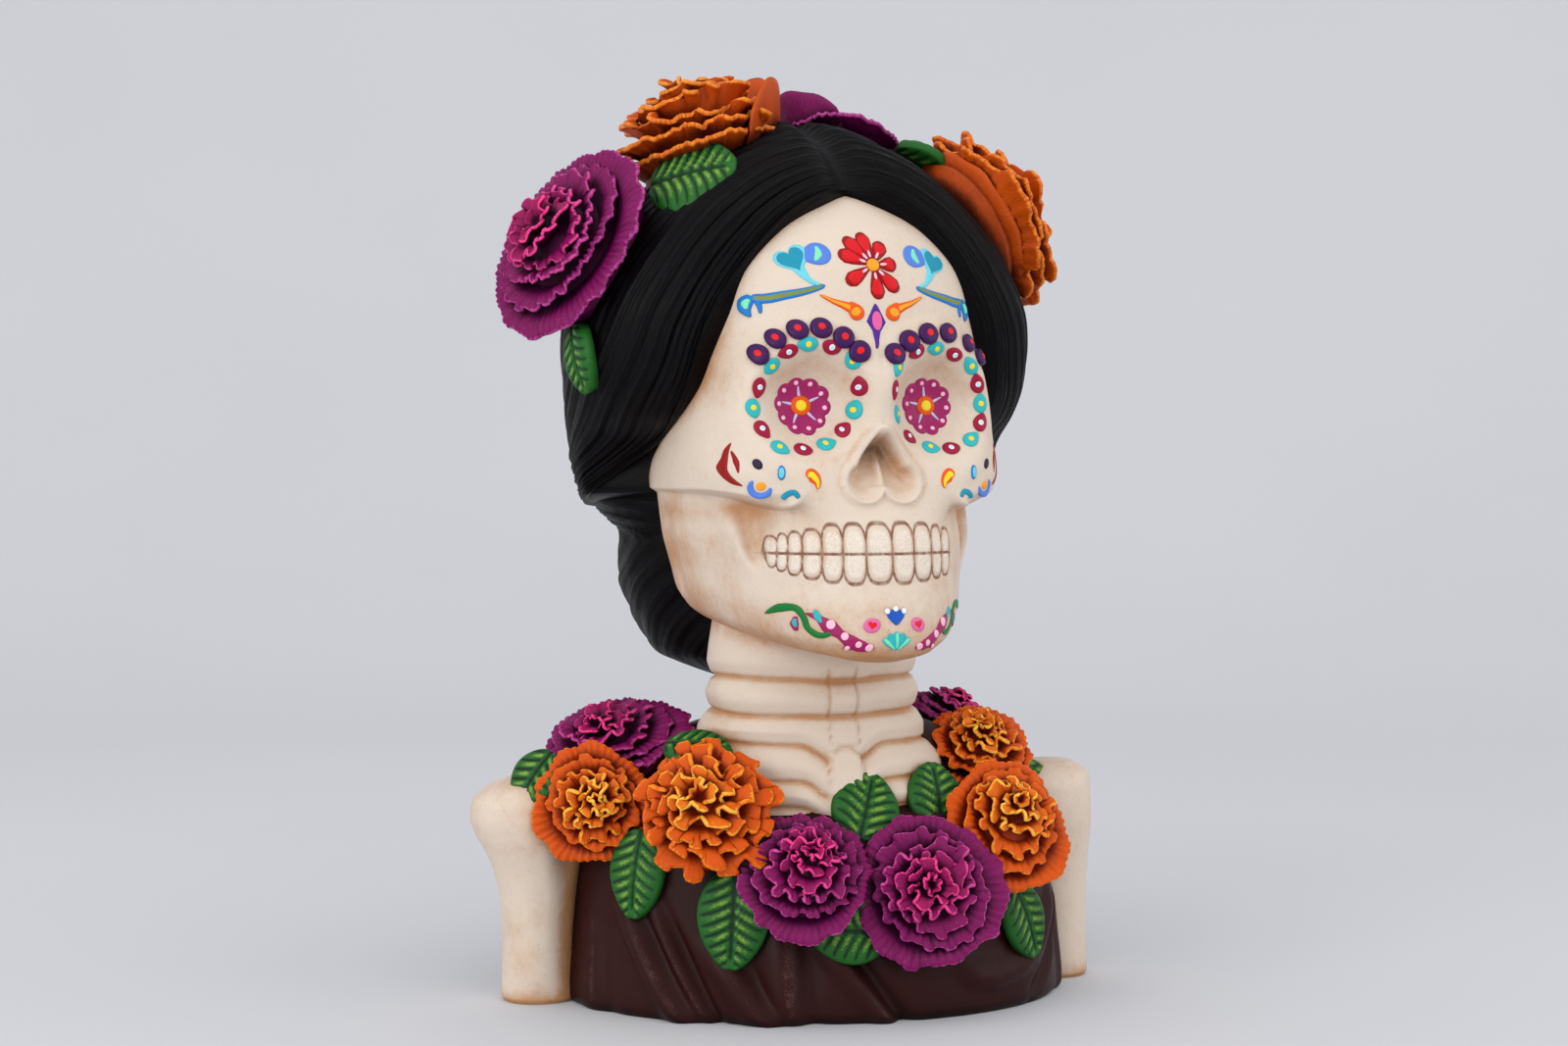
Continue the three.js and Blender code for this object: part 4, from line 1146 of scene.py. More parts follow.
MARIGOLD = [
    [0.97, 0.12, 0.58, -0.05, 12, 1.90, 0.65, 5, 0.06, 0, 0.0, 0.8, 1.7, 1.2],
    [0.81, 0.30, 0.44, 0.10, 12, 2.20, 0.8, 4, 0.07, 0, 0.0, 0.4, 1.6, 1.2],
    [0.62, 0.47, 0.30, 0.26, 10, 2.30, 0.8, 3, 0.08, 0, 0.0, 0.1, 1.5, 1.2],
    [0.42, 0.62, 0.18, 0.40, 7, 2.20, 0.8, 4, 0.10, 0, 0.0, 0.0, 1.4, 1.3],
    [0.22, 0.74, 0.06, 0.50, 4, 1.60, 0.6, 2, 0.15, 0, 0.0, 0.0, 1.3, 1.4],
]
ROSETTE = [
    [1.00, 0.11, 0.62, -0.04, 9, 0.80, 0.0, 3, 0.05, 46, 0.38, 0.9, 1.5, 1.0],
    [0.77, 0.27, 0.46, 0.11, 11, 0.90, 0.2, 2, 0.08, 36, 0.34, 0.4, 1.4, 1.0],
    [0.59, 0.45, 0.34, 0.26, 12, 1.30, 0.5, 3, 0.10, 22, 0.20, 0.1, 1.3, 1.2],
    [0.42, 0.60, 0.22, 0.40, 9, 1.50, 0.7, 2, 0.12, 0, 0.0, 0.0, 1.2, 1.4],
    [0.26, 0.70, 0.12, 0.50, 6, 1.40, 0.7, 3, 0.15, 0, 0.0, 0.0, 1.1, 1.5],
    [0.11, 0.76, 0.04, 0.57, 3, 0.80, 0.4, 2, 0.15, 0, 0.0, 0.0, 1.1, 1.5],
]
CUP = [
    [1.00, 0.02, 0.50, -0.50, 10, 1.60, 0.3, 3, 0.07, 44, 0.34, 0.0, 1.8, 0.8],
    [0.95, 0.26, 0.50, -0.25, 12, 2.20, 0.4, 4, 0.08, 38, 0.34, 0.0, 1.7, 0.8],
    [0.83, 0.48, 0.48, 0.00, 11, 2.60, 0.5, 3, 0.10, 28, 0.30, 0.0, 1.7, 0.8],
    [0.67, 0.68, 0.40, 0.20, 9, 2.60, 0.6, 2, 0.12, 20, 0.30, 0.0, 1.6, 0.8],
    [0.47, 0.84, 0.28, 0.40, 7, 2.30, 0.6, 3, 0.15, 0, 0.0, 0.0, 1.5, 0.8],
    [0.24, 0.92, 0.10, 0.55, 5, 1.80, 0.6, 3, 0.18, 0, 0.0, 0.0, 1.4, 0.8],
]
# Broad smooth petals outside a flower: middle and span in degrees, then rim radius, rim height and root
# radius as shares.
GUARDS = {
    "top_flower": [[95, 66, 1.02, 0.84, 0.62], [34, 62, 1.08, 0.68, 0.62]],
    "rear_crown_flower": [[205, 170, 1.0, 1.15, 0.45], [325, 160, 1.04, 1.05, 0.48]],
    "far_temple_flower": [[90, 160, 0.9, -0.1, 0.50], [250, 150, 0.92, -0.12, 0.50]],
}
# The dome under the frills: radius and height of each ring, as shares of the flower's.
DOME = [[0.3, -0.6], [0.6, -0.55], [0.8, -0.35], [0.76, -0.12], [0.56, 0.02], [0.34, 0.26], [0.1, 0.46]]
# The four edges of a grid.
BORDER = (np.s_[0, :], np.s_[-1, :], np.s_[:, 0], np.s_[:, -1])


def frill(radius, height, row, phase, lean, fineness):
    """A ruffled bowl with a thick wall.

    The wall's radius runs from root to rim as a power of its share t, and its height as 1 - (1 - t)^1.8.
    The rim waves in and out with two sines of the turn, up and down with their cosines, and along itself
    with a sine of twice the first, all growing with t^2. Slow sines of the turn shift the ruffles and the
    lobes, and tilt the bowl, so that no two are alike. The wall's two sides lie half its thickness along
    its normal, and meet in a round rim. The nearer a frill is to the heart, the further it sits along the
    flower's lean, a pair of mm across and up.
    """
    rim_radius, rim_height, root, foot, waves, depth, loop = row[:7]
    lobes, lobe_depth, ribs, rib, curl, thick, flare = row[7:]
    count = int(max(waves * 11, ribs * 3.6) * fineness)
    turn = np.linspace(0, 2 * math.pi, count, endpoint=False)[None, :]
    t = np.array([0, 0.25, 0.46, 0.63, 0.77, 0.87, 0.94, 0.98, 1.0])[:, None]
    q = waves * turn + phase + 1.1 * np.sin(2 * turn + 1.7 * phase) + 0.7 * np.sin(3 * turn + phase)
    q_fine = round(1.7 * waves) * turn + 2 * phase + 0.9 * np.sin(turn + phase)
    uneven = 0.78 + 0.42 * np.sin(2 * turn + 3 * phase) * np.sin(3 * turn + phase)
    lobe = lobe_depth * np.sin(lobes * turn + 2.3 * phase)
    lobed = rim_radius * (1 + lobe + 0.045 * np.sin(turn + 2.9 * phase))
    wave = depth * uneven * t ** 2
    r = radius * (root + (lobed - root) * t ** flare) + wave * (np.sin(q) + 0.4 * np.sin(q_fine))
    droop = curl * t ** 6 * (1 + 0.5 * np.sin(lobes * turn + phase))
    h = height * (foot + (rim_height - foot) * (1 - (1 - t) ** 1.8))
    h = h + 0.5 * wave * (np.cos(q + 0.4) + 0.5 * np.cos(q_fine)) - droop
    h = h + radius * t * (0.04 * np.sin(2 * turn + phase) + 0.035 * np.sin(turn + 1.9 * phase))
    turn = turn - loop * t ** 2 * np.sin(2 * q) * math.pi / 3 / waves
    sheet = stacked(r * np.cos(turn), r * np.sin(turn), h)
    normal = normals_of(sheet, wrap=True)
    fold = rib * np.cos(ribs * turn + 1.5 * np.sin(3 * turn + phase)) * smooth(0.2, 0.6, t)
    sheet = sheet + normal * fold[..., None]
    wall = 0.5 * thick * np.sqrt(1 - np.maximum((t - 0.9) / 0.1, 0) ** 2) * (0.6 + 0.4 * t)
    wall = normal * wall[..., None]
    rings = np.concatenate([sheet - wall, (sheet + wall)[-2::-1]])
    rings = rings + (1 - rim_radius) * np.array([lean[0], lean[1], 0.0])
    flat = np.stack([turn * radius * rim_radius / 10, t * radius * (0.3 + rim_radius) / 10 + 0 * r], -1)
    # crest: the ruffles' bulge, lit by the paint as a painted highlight.
    crest = (0.5 * np.sin(q) + 0.5 * np.cos(q + 0.4)) * t
    marks = {"rim": t + 0 * r, "tier": rim_radius + 0 * r, "crest": crest, "petal": flat}
    marks = {mark: np.concatenate([value, value[-2::-1]]) for mark, value in marks.items()}
    return ring_solid(rings, **marks)


def guard_petal(radius, height, row, phase):
    """A broad smooth petal: a wall that opens from its root to a rounded rim, lower towards its two sides."""
    middle, span, rim_radius, rim_height, root = row
    s = np.linspace(0, 1, 34)[None, :]
    t = np.array([0, 0.2, 0.4, 0.58, 0.74, 0.87, 0.95, 1.0])[:, None]
    turn = math.radians(middle) + math.radians(span) * (s - 0.5)
    full = np.sin(math.pi * s) ** 0.55
    r = radius * (root + (rim_radius - root) * t * (0.8 + 0.2 * full)) + 0.3 * t * np.sin(9 * turn + phase)
    h = height * (-0.45 + (rim_height * full + 0.45) * t) + 0.25 * t * np.sin(14 * turn + phase)
    sheet = stacked(r * np.cos(turn), r * np.sin(turn), h)
    thick = 0.9 * np.sqrt(1 - t ** 9) * np.sqrt(np.maximum(1 - np.abs(2 * s - 1) ** 12, 0))
    normal = normals_of(sheet) * (thick * smooth(-0.2, 0.25, t))[..., None]
    front, back = sheet + normal, sheet - normal
    for edge in BORDER:
        front[edge], back[edge] = sheet[edge], sheet[edge]
    flat = np.stack([turn * radius / 10 + 0 * r, t * radius / 10 + 0 * r], -1)
    return shell(front, back, rim=0.45 + 0.5 * t ** 8, tier=1.0, crest=0.0, petal=flat)


def flower(radius, height, kind, phase, lean, fineness):
    """Frills one inside the other, over a low dome that closes the flower underneath."""
    parts = [frill(radius, height, row, phase + 2.1 * k, lean, fineness) for k, row in enumerate(kind)]
    turn = np.linspace(0, 2 * math.pi, 36, endpoint=False)
    profile = np.array(DOME)
    r, h = profile[:, :1] * radius, profile[:, 1:] * height
    rings = stacked(r * np.cos(turn), r * np.sin(turn), h)
    flat = np.stack([r * turn / 10, h / 10 + 0 * turn], -1)
    parts.append(ring_solid(rings, rim=0.3, tier=0.9, crest=0.0, petal=flat))
    return parts


# From one flower to the next: degrees that it is rolled, and the shift of its sines.
FLOWER_ROLL, FLOWER_PHASE = 23, 1.3
# Flowers that the photo hides are made with fewer points.
PLAIN_FINENESS = 0.6
# Name, paint, kind, place of the base, azimuth and elevation it faces, radius, height, and how far the
# heart sits to the flower's right and above its middle, all in mm and degrees.
FLOWERS = [
    ["temple_flower", purple_finish, TEMPLE, [-72, 8.5, 225.5], -68, 26, 30.5, 19, (-3, 1)],
    ["top_flower", dusky_finish, CUP, [-29, 11, 256], -100, 76, 25, 23, (0, 0)],
    ["rear_crown_flower", purple_finish, CARNATION, [20, 26, 257.5], 165, 60, 21, 15, (0, 0)],
    ["far_temple_flower", dusky_finish, CUP, [58, 5, 236], 98, 28, 29, 18, (0, 0)],
    ["shoulder_flower", purple_finish, CARNATION, [-56, 17, 77], -42, 62, 22.5, 13, (-2, -2)],
    ["rosette_flower", orange_finish, ROSETTE, [-68, -2, 61], -24, 14, 17.5, 14, (2, 0)],
    ["marigold_flower", orange_finish, MARIGOLD, [-43.4, -31.6, 61.4], -22, 22, 20.2, 15, (-2, 2)],
    ["small_front_flower", purple_finish, CARNATION, [-18.3, -46.5, 43], -16, 26, 19, 14, (1.5, 5)],
    ["large_front_flower", purple_finish, CARNATION, [16.6, -53, 38], -16, 16, 22, 15, (0, 1)],
    ["far_marigold_flower", orange_finish, ROSETTE, [46, -46, 53], 0, 26, 20, 15, (1, 7)],
    ["far_shoulder_flower", orange_finish, ROSETTE, [49, -17, 73], -6, 48, 17.5, 14, (1, 2)],
    ["far_rear_flower", purple_finish, CARNATION, [54, 11.6, 80], 60, 62, 15, 12, (0, 0)],
    ["rear_flower", purple_finish, CARNATION, [27, 35, 62], 160, 42, 18, 12, (0, 0)],
    ["near_rear_flower", orange_finish, ROSETTE, [-18, 42, 62], 190, 42, 18, 12, (0, 0)],
]
# Name, place of the stem, azimuth and elevation the face looks to, roll of the tip, length, half width.
LEAVES = [
    ["dress_leaf", [-58.2, -16.8, 55.2], -50, 4, 265, 27, 8.5],
    ["long_leaf", [-35.8, -36.3, 45.4], -30, 4, 267, 30, 10],
    ["low_leaf", [6.4, -51.6, 26.4], -12, 6, 176, 25, 9],
    ["chest_leaf", [-0.5, -43.6, 52.3], -8, 28, 72, 22, 9.5],
    ["far_chest_leaf", [26.4, -42, 53.6], 7, 28, 83, 22, 9],
    ["far_dress_leaf", [48.1, -45.9, 37.4], 25, 4, 291, 25, 8],
    ["arm_leaf", [-77.9, 8, 76], -50, 25, 247, 20, 8],
    ["neck_leaf", [-48.3, -8.6, 79], -40, 60, 353, 22, 7],
    ["far_arm_leaf", [67, -13, 69], 40, 30, 301, 20, 7],
    ["crown_leaf", [-51.2, -3.0, 243.4], -50, 35, 13, 28.5, 13],
    ["temple_leaf", [-73.7, 1.3, 202.3], -82, -4, 290, 22, 8],
    ["top_leaf", [34.5, 9.5, 261], 107, 50, 239, 24, 8],
    ["rear_crown_leaf", [2, 40, 258], 180, 50, 20, 26, 9],
    ["far_temple_leaf", [62, 24, 222], 118, 12, 300, 26, 9],
]
LEAF_THICKNESS = 4.0
VEIN_PITCH = 3.3


def leaf(length, half_width):
    """A thick pointed slab: half width as a power of a sine of its length, grooved by its midrib and
    veins."""
    t = np.linspace(0.02, 0.985, 50)[:, None]
    w = np.sin(np.radians(np.linspace(-90, 90, 27)))[None, :]
    half = half_width * (0.06 + 1.02 * np.sin(math.pi * t ** 0.86) ** 0.62)
    x, y = length * t + 0 * w, half * w
    off = np.abs(w)
    arch = 1.6 * np.sin(math.pi * t)
    full = np.sqrt(np.maximum(1 - off ** 7, 0)) * np.sqrt(np.maximum(1 - np.abs(2 * t - 1.005) ** 24, 0))
    course = (x - 0.75 * np.abs(y) + 0.03 * y * y) / VEIN_PITCH
    within = smooth(0.96, 0.78, off) * smooth(0.5, 1.6, np.abs(y))
    within = within * smooth(0.02, 0.12, t) * smooth(0.99, 0.92, t)
    vein = (0.5 + 0.5 * np.cos(2 * math.pi * course)) ** 4 * within
    midrib = np.exp(-np.square(y / 0.5)) * smooth(0.93, 0.85, t)
    top = arch + 0.9 * off ** 1.5 * smooth(1.0, 0.6, off) - 0.6 * vein - 0.8 * midrib
    low = arch - LEAF_THICKNESS
    middle = (low + arch) / 2
    front, back = stacked(x, y, mix(middle, top, full)), stacked(x, y, mix(middle, low, full ** 0.5))
    for edge in BORDER:
        back[edge] = front[edge]
    swell = (0.5 - 0.5 * np.cos(2 * math.pi * course)) ** 1.2 * within * smooth(0.95, 0.3, off)
    rim = smooth(0.82, 0.98, off) * smooth(0.0, 0.3, t)
    light = 0.9 * vein + 0.8 * midrib + 0.2 * rim + 0.25 * smooth(0.3, 0.0, t)
    return shell(front, back, vein=light, swell=swell)


def make_flowers():
    """Every flower is one object, set on the crown or on the garland.

    The lean is turned back by the flower's roll, so that it is taken to the right and up as the flower faces.
    """
    for k, (name, finish, kind, at, azimuth, elevation, radius, height, lean) in enumerate(FLOWERS):
        fineness = PLAIN_FINENESS if "rear" in name else 1.0
        roll = math.radians(k * FLOWER_ROLL)
        c, s = math.cos(roll), math.sin(roll)
        lean = (lean[0] * c + lean[1] * s, lean[1] * c - lean[0] * s)
        parts = flower(radius, height, kind, k * FLOWER_PHASE, lean, fineness)
        parts += [guard_petal(radius, height, row, k) for row in GUARDS.get(name, [])]
        seat = facing(at, azimuth, elevation, k * FLOWER_ROLL)
        add_piece(name, [put(part, seat) for part in parts], finish)


def make_leaves():
    """Every leaf is one object, stem under a flower and tip outwards."""
    for name, at, azimuth, elevation, roll, length, half in LEAVES:
        seat = facing(at, azimuth, elevation, roll)
        add_piece(name, [put(leaf(length, half), seat)], leaf_finish)


make_flowers()
make_leaves()


# Painted ornament of the face

CRIMSON = shade(154, 8, 52)
TEAL = shade(44, 180, 184)
VIOLET = shade(58, 8, 78)
MAGENTA = shade(158, 26, 94)
RED = shade(214, 6, 22)
SCARLET = shade(226, 20, 26)
BLOOD = shade(146, 0, 2)
PALE_BLUE = shade(190, 228, 240)
AQUA = shade(110, 208, 224)
SKY = shade(24, 120, 196)
LAGOON = shade(16, 144, 172)
OCEAN = shade(24, 142, 170)
PERIWINKLE = shade(84, 128, 218)
ROYAL = shade(20, 84, 186)
NIGHT = shade(34, 14, 52)
YELLOW = shade(248, 214, 40)
AMBER = shade(252, 160, 32)
ORANGE = shade(228, 88, 12)
PINK = shade(228, 96, 160)
DUSKY_PINK = shade(220, 106, 164)
PALE_PINK = shade(250, 194, 214)
LILAC = shade(198, 194, 232)
PURPLE = shade(78, 34, 142)
GREEN = shade(12, 116, 48)
MINT = shade(126, 226, 182)
OLIVE = shade(124, 138, 58)
SNOW = shade(238, 246, 250)
WHITE = shade(236, 240, 246)
# A dab's rings from its foot to its top: the share of its outline, and for those over the face the height
# of its dome at a lift of 0.5 mm. The foot of a dab or of a stroke lies in the face, so many mm deep.
DAB_SHARES = [0.1, 0.5, 1.0, 1.0, 0.95, 0.84, 0.7, 0.66, 0.4, 0.12]
DAB_HEIGHTS = [0.08, 0.28, 0.4, 0.46, 0.47, 0.5, 0.51]
DAB_FOOT, STROKE_FOOT = -0.5, -0.3
# A stroke's section: how far across each point lies as a share of the half width, and how high.
STROKE_ACROSS = [-1, -0.96, -0.8, -0.45, -0.4, 0, 0.4, 0.45, 0.8, 0.96, 1.0]
STROKE_HEIGHTS = [0, 0.12, 0.6, 0.92, 0.94, 1, 0.94, 0.92, 0.6, 0.12, 0]


def heading(turn):
    """The way that an angle in radians points, in x and z."""
    return np.array([math.cos(turn), math.sin(turn)])


def spoke(centre, turn, start, end, count):
    """Points along a straight line that leaves a centre at an angle, from one distance to another."""
    return centre + np.linspace(start, end, count)[:, None] * heading(turn)


def rolled(x, z, degrees):
    """An outline turned about its middle."""
    c, s = heading(math.radians(degrees))
    return np.stack([x * c - z * s, x * s + z * c])


def round_edge(rx, rz, turn=0.0, point=0.0, count=24):
    """The edge of an oval with two half widths, turned by degrees, and drawn out to a point on its first
    side."""
    a = np.linspace(0, 2 * math.pi, count, endpoint=False)
    reach = 1 + point * np.maximum(np.cos(a), 0) ** 6
    return rolled(rx * reach * np.cos(a), rz * np.sin(a) * (1 - 0.3 * point * np.cos(a)), turn)


def heart_edge(size, turn=0.0):
    """The edge of a heart: two lobes over a point, a power of the sine across and sums of cosines up."""
    a = np.linspace(0, 2 * math.pi, 40, endpoint=False)
    up = 13 * np.cos(a) - 5 * np.cos(2 * a) - 2 * np.cos(3 * a) - np.cos(4 * a)
    return rolled(size * np.sin(a) ** 3, size * up / 16, turn)


def painted_rings(rings, colour, where, inner):
    """A closed dab or stroke in its colour, with another colour on part of its rings where there is one."""
    paints = np.broadcast_to(colour, rings.shape).copy()
    if inner is not None:
        paints[where] = inner
    return ring_solid(rings, paint=paints)


def dab(x, z, colour, edge, lift=0.45, inner=None, base=0.0):
    """A raised dab of paint on the face: its edge, shrunk in steps and lifted into a low dome.

    The edge is a pair of rows, x and z about its middle, as they lie on the face: where the face slopes, they
    shrink by 1 / sqrt(1 + slope^2). The inner colour, where there is one, covers the top of the dab.
    """
    steps = np.array([[-1.0, 1.0, 0.0, 0.0], [0.0, 0.0, -1.0, 1.0]])
    near = on_face(x + steps[0], z + steps[1], np.zeros(4))[:, 1]
    slope = np.clip(np.array([[near[1] - near[0]], [near[3] - near[2]]]) / 2, -0.8, 0.8)
    edge = edge / np.sqrt(1 + slope ** 2)
    share = np.array(DAB_SHARES)[:, None]
    height = np.concatenate([[DAB_FOOT] * 3, base + np.array(DAB_HEIGHTS) * lift / 0.5])[:, None]
    rings = on_face(x + edge[0] * share, z + edge[1] * share, height + 0 * edge[0])
    return painted_rings(rings, colour, np.s_[-3:], inner)


def dot(x, z, colour, size, lift, base, count=24):
    """A round dab."""
    return dab(x, z, colour, round_edge(size, size, count=count), lift, None, base)


def stroke(points, widths, colour, lift=0.4, stripe=None, base=0.0, side=1):
    """A brush stroke: half a round section, as wide as its widths say, along a smooth path on the face.

    The path is given for the right half of the face, and side is -1 to mirror it to the left. The stripe's
    colour, where there is one, runs along the middle.
    """
    t = np.linspace(0, 1, 6 * len(points))
    path = along_path(np.asarray(points, float) * [side, 1], t)
    way = unit(np.gradient(path, axis=0))
    across = np.stack([-way[:, 1], way[:, 0]], -1)
    wide = np.interp(t, np.linspace(0, 1, len(widths)), widths)
    wide = (wide * np.sqrt(np.clip(1 - np.abs(2 * t - 1) ** 14, 0.02, 1)) / 2)[:, None]
    spot = path[:, None] + across[:, None] * (wide * STROKE_ACROSS)[..., None]
    height = base + lift * np.array(STROKE_HEIGHTS) * np.clip(wide / 0.5, 0.3, 1)
    height[:, [0, -1]] = STROKE_FOOT
    rings = on_face(spot[..., 0], spot[..., 1], height)
    return painted_rings(rings, colour, np.s_[2:-2, 4:7], stripe)


# The drops round each eye, from the outer end of the brow over the top and round, and the beads over them.
DROPS = {
    -1: [[-30.1, 189.0], [-25.8, 193.1], [-20.5, 195.2], [-14.0, 194.4], [-8.0, 190.5],
        [-5.8, 183.2], [-6.6, 176.7], [-9.6, 171.0], [-14.9, 167.0], [-22.1, 165.5],
        [-29.2, 166.1], [-33.4, 171.3], [-35.4, 177.2], [-33.5, 183.1]],
    1: [[5.3, 188.8], [12.1, 193.5], [18.8, 194.5], [25.5, 192.9], [31.6, 189.7],
        [34.2, 184.5], [35.2, 178.8], [34.6, 173.2], [30.7, 168.4], [23.9, 165.8],
        [17.3, 166.1], [10.7, 169.2], [6.1, 175.6], [4.4, 182.6]],
}
BEADS = {
    -1: [[-33.5, 192.1], [-29.0, 196.5], [-23.1, 199.1], [-16.7, 199.6], [-10.6, 197.0], [-6.2, 193.1]],
    1: [[4.4, 192.5], [9.5, 196.3], [15.9, 198.5], [23.1, 198.9], [31.0, 196.2], [36.6, 192.4]],
}
EYE_FLOWER = {-1: (-19.7, 177.9), 1: (18.9, 178.1)}
BEAD_RADIUS = 3.2
EYE_FLOWER_RADIUS, EYE_FLOWER_LOBES = 8.4, 10


def eye_flower(x, z):
    """A magenta flower of ten lobes, with a dot in each, five fine rays and a yellow and orange middle."""
    a = np.linspace(0, 2 * math.pi, 120, endpoint=False)
    notch = 1.2 * (1 - np.abs(np.cos(EYE_FLOWER_LOBES / 2 * a + 0.4)) ** 0.55)
    lobes = (EYE_FLOWER_RADIUS - notch + 0.25 * np.sin(3 * a)) * np.stack([np.cos(a), np.sin(a)])
    parts = [dab(x, z, MAGENTA, lobes, lift=0.8)]
    for k in range(EYE_FLOWER_LOBES):
        way = heading((math.pi * k - 0.4) / 5)
        parts.append(dot(x + 7.0 * way[0], z + 7.0 * way[1], PALE_PINK, 0.72, 0.25, 0.66, 14))
    for k in range(5):
        ray = spoke(np.array([x, z]), math.radians(98 + 72 * k), 2.6, 6.1, 4)
        parts.append(stroke(ray, [0.9, 0.9, 0.7, 0.4], LILAC, lift=0.3, base=0.82))
    parts.append(dab(x, z, ORANGE, round_edge(3.0, 2.9), lift=0.5, base=0.8))
    parts.append(dot(x, z, YELLOW, 1.6, 0.4, 1.2, 18))
    return parts


def eye_ornament(side):
    """Round each eye: a ring of fourteen drops, an arc of six beads over it, and a flower in the socket."""
    parts = []
    for k, (x, z) in enumerate(DROPS[side]):
        odd = k % 2 == 1
        turn = math.degrees(math.atan2(z - 180.0, x - side * 20.0)) + 90
        edge = round_edge(2.75, 2.15, turn, 0.22 * (1 if k % 3 else 0.4))
        spot = round_edge(0.85, 0.8, turn, count=14)
        parts.append(dab(x, z, CRIMSON if odd else TEAL, edge, lift=0.6))
        parts.append(dab(x, z, SNOW if odd else YELLOW, spot, 0.2, PALE_BLUE if odd else YELLOW, base=0.55))
    for x, z in BEADS[side]:
        parts.append(dot(x, z, VIOLET, BEAD_RADIUS, 1.2, 0.3))
        parts.append(dab(x, z, SCARLET, round_edge(1.05, 1.0, count=14), lift=0.3, base=1.4))
    return parts + eye_flower(*EYE_FLOWER[side])


def brow_ornament(side):
    """Over each brow: a heart with a tail, a blue oval with a crescent, a blue stroke and an orange comma."""
    heart, tip = side * 21.6, -side * 25
    oval = round_edge(4.0, 3.8, -19 if side > 0 else 199, 0.22)
    comma = round_edge(2.5, 2.3, 90 - side * 30, 0.35)
    return [
        dab(heart, 219.6, AQUA, heart_edge(5.3, tip)),
        dab(heart + side * 0.2, 219.5, LAGOON, heart_edge(4.1, tip), lift=0.2, base=0.42),
        stroke(
            [[21.4, 218.6], [19.4, 215.0], [17.8, 213.2], [15.4, 212.0]],
            [4.0, 3.0, 1.5, 1.2], AQUA, side=side),
        dab(side * 15.0, 221.1, PERIWINKLE, oval),
        stroke([[15.0, 223.2], [14.7, 221.2], [16.0, 218.9]], [0.9, 2.1, 0.9], MINT, 0.25, None, 0.42, side),
        stroke(
            [[14.0, 212.0], [18.4, 210.6], [24.9, 209.2], [30.6, 208.3], [33.2, 208.6]],
            [1.6, 2.1, 2.6, 3.0, 2.8], SKY, stripe=OLIVE, side=side),
        stroke(
            [[32.6, 209.0], [34.2, 207.4], [34.6, 205.6], [33.6, 203.1]],
            [2.4, 3.6, 2.9, 0.7], SKY, lift=0.45, side=side),
        stroke([[31.6, 207.6], [31.2, 206.0], [31.2, 204.1]], [1.8, 1.3, 0.8], SKY, side=side),
        stroke([[33.2, 208.1], [34.2, 206.9], [34.1, 205.2]], [1.0, 1.9, 0.8], MINT, 0.3, None, 0.4, side),
        stroke(
            [[15.8, 209.3], [11.8, 207.3], [8.8, 206.2], [6.6, 205.2]],
            [0.7, 1.4, 2.2, 3.4], ORANGE, stripe=AMBER, side=side),
        dab(side * 5.7, 204.5, ORANGE, comma, lift=0.5),
        dab(side * 5.9, 204.5, AMBER, round_edge(1.5, 1.2, -side * 30), lift=0.2, base=0.5),
    ]


def cheek_ornament(side):
    """On each cheekbone: a dot, two drops, a crescent round a dot, a small arc, and a red flame behind
    them."""
    return [
        dab(side * 35.4, 161.4, NIGHT, round_edge(1.7, 1.3, side * 45), lift=0.4),
        dab(side * 29.6, 159.0, SKY, round_edge(1.1, 2.1), inner=AQUA),
        stroke(
            [[22.3, 157.5], [21.5, 158.5], [20.3, 157.5], [19.5, 156.1], [19.6, 154.4]],
            [2.0, 3.8, 3.6, 2.1, 0.7], ORANGE, stripe=YELLOW, side=side),
        stroke(
            [[36.6, 156.8], [37.0, 155.2], [36.3, 153.3], [34.6, 152.5], [32.8, 153.3], [32.1, 154.8]],
            [0.9, 1.5, 1.7, 1.8, 1.7, 0.9], PERIWINKLE, side=side),
        dab(side * 34.6, 155.2, AMBER, round_edge(1.5, 1.2)),
        stroke(
            [[29.4, 151.6], [28.2, 152.9], [26.1, 153.4], [24.9, 151.9]],
            [1.3, 1.7, 1.7, 1.5], OCEAN, side=side),
        stroke(
            [[40.8, 167.4], [41.7, 165.4], [42.3, 162.7], [42.8, 160.0], [42.0, 158.0], [40.6, 156.4],
             [38.6, 155.2]],
            [0.5, 1.1, 1.4, 2.1, 1.7, 1.4, 0.5], BLOOD, lift=0.25, side=side),
        stroke([[40.9, 165.2], [40.1, 162.4], [39.7, 158.8]], [0.5, 1.4, 0.4], BLOOD, lift=0.25, side=side),
    ]


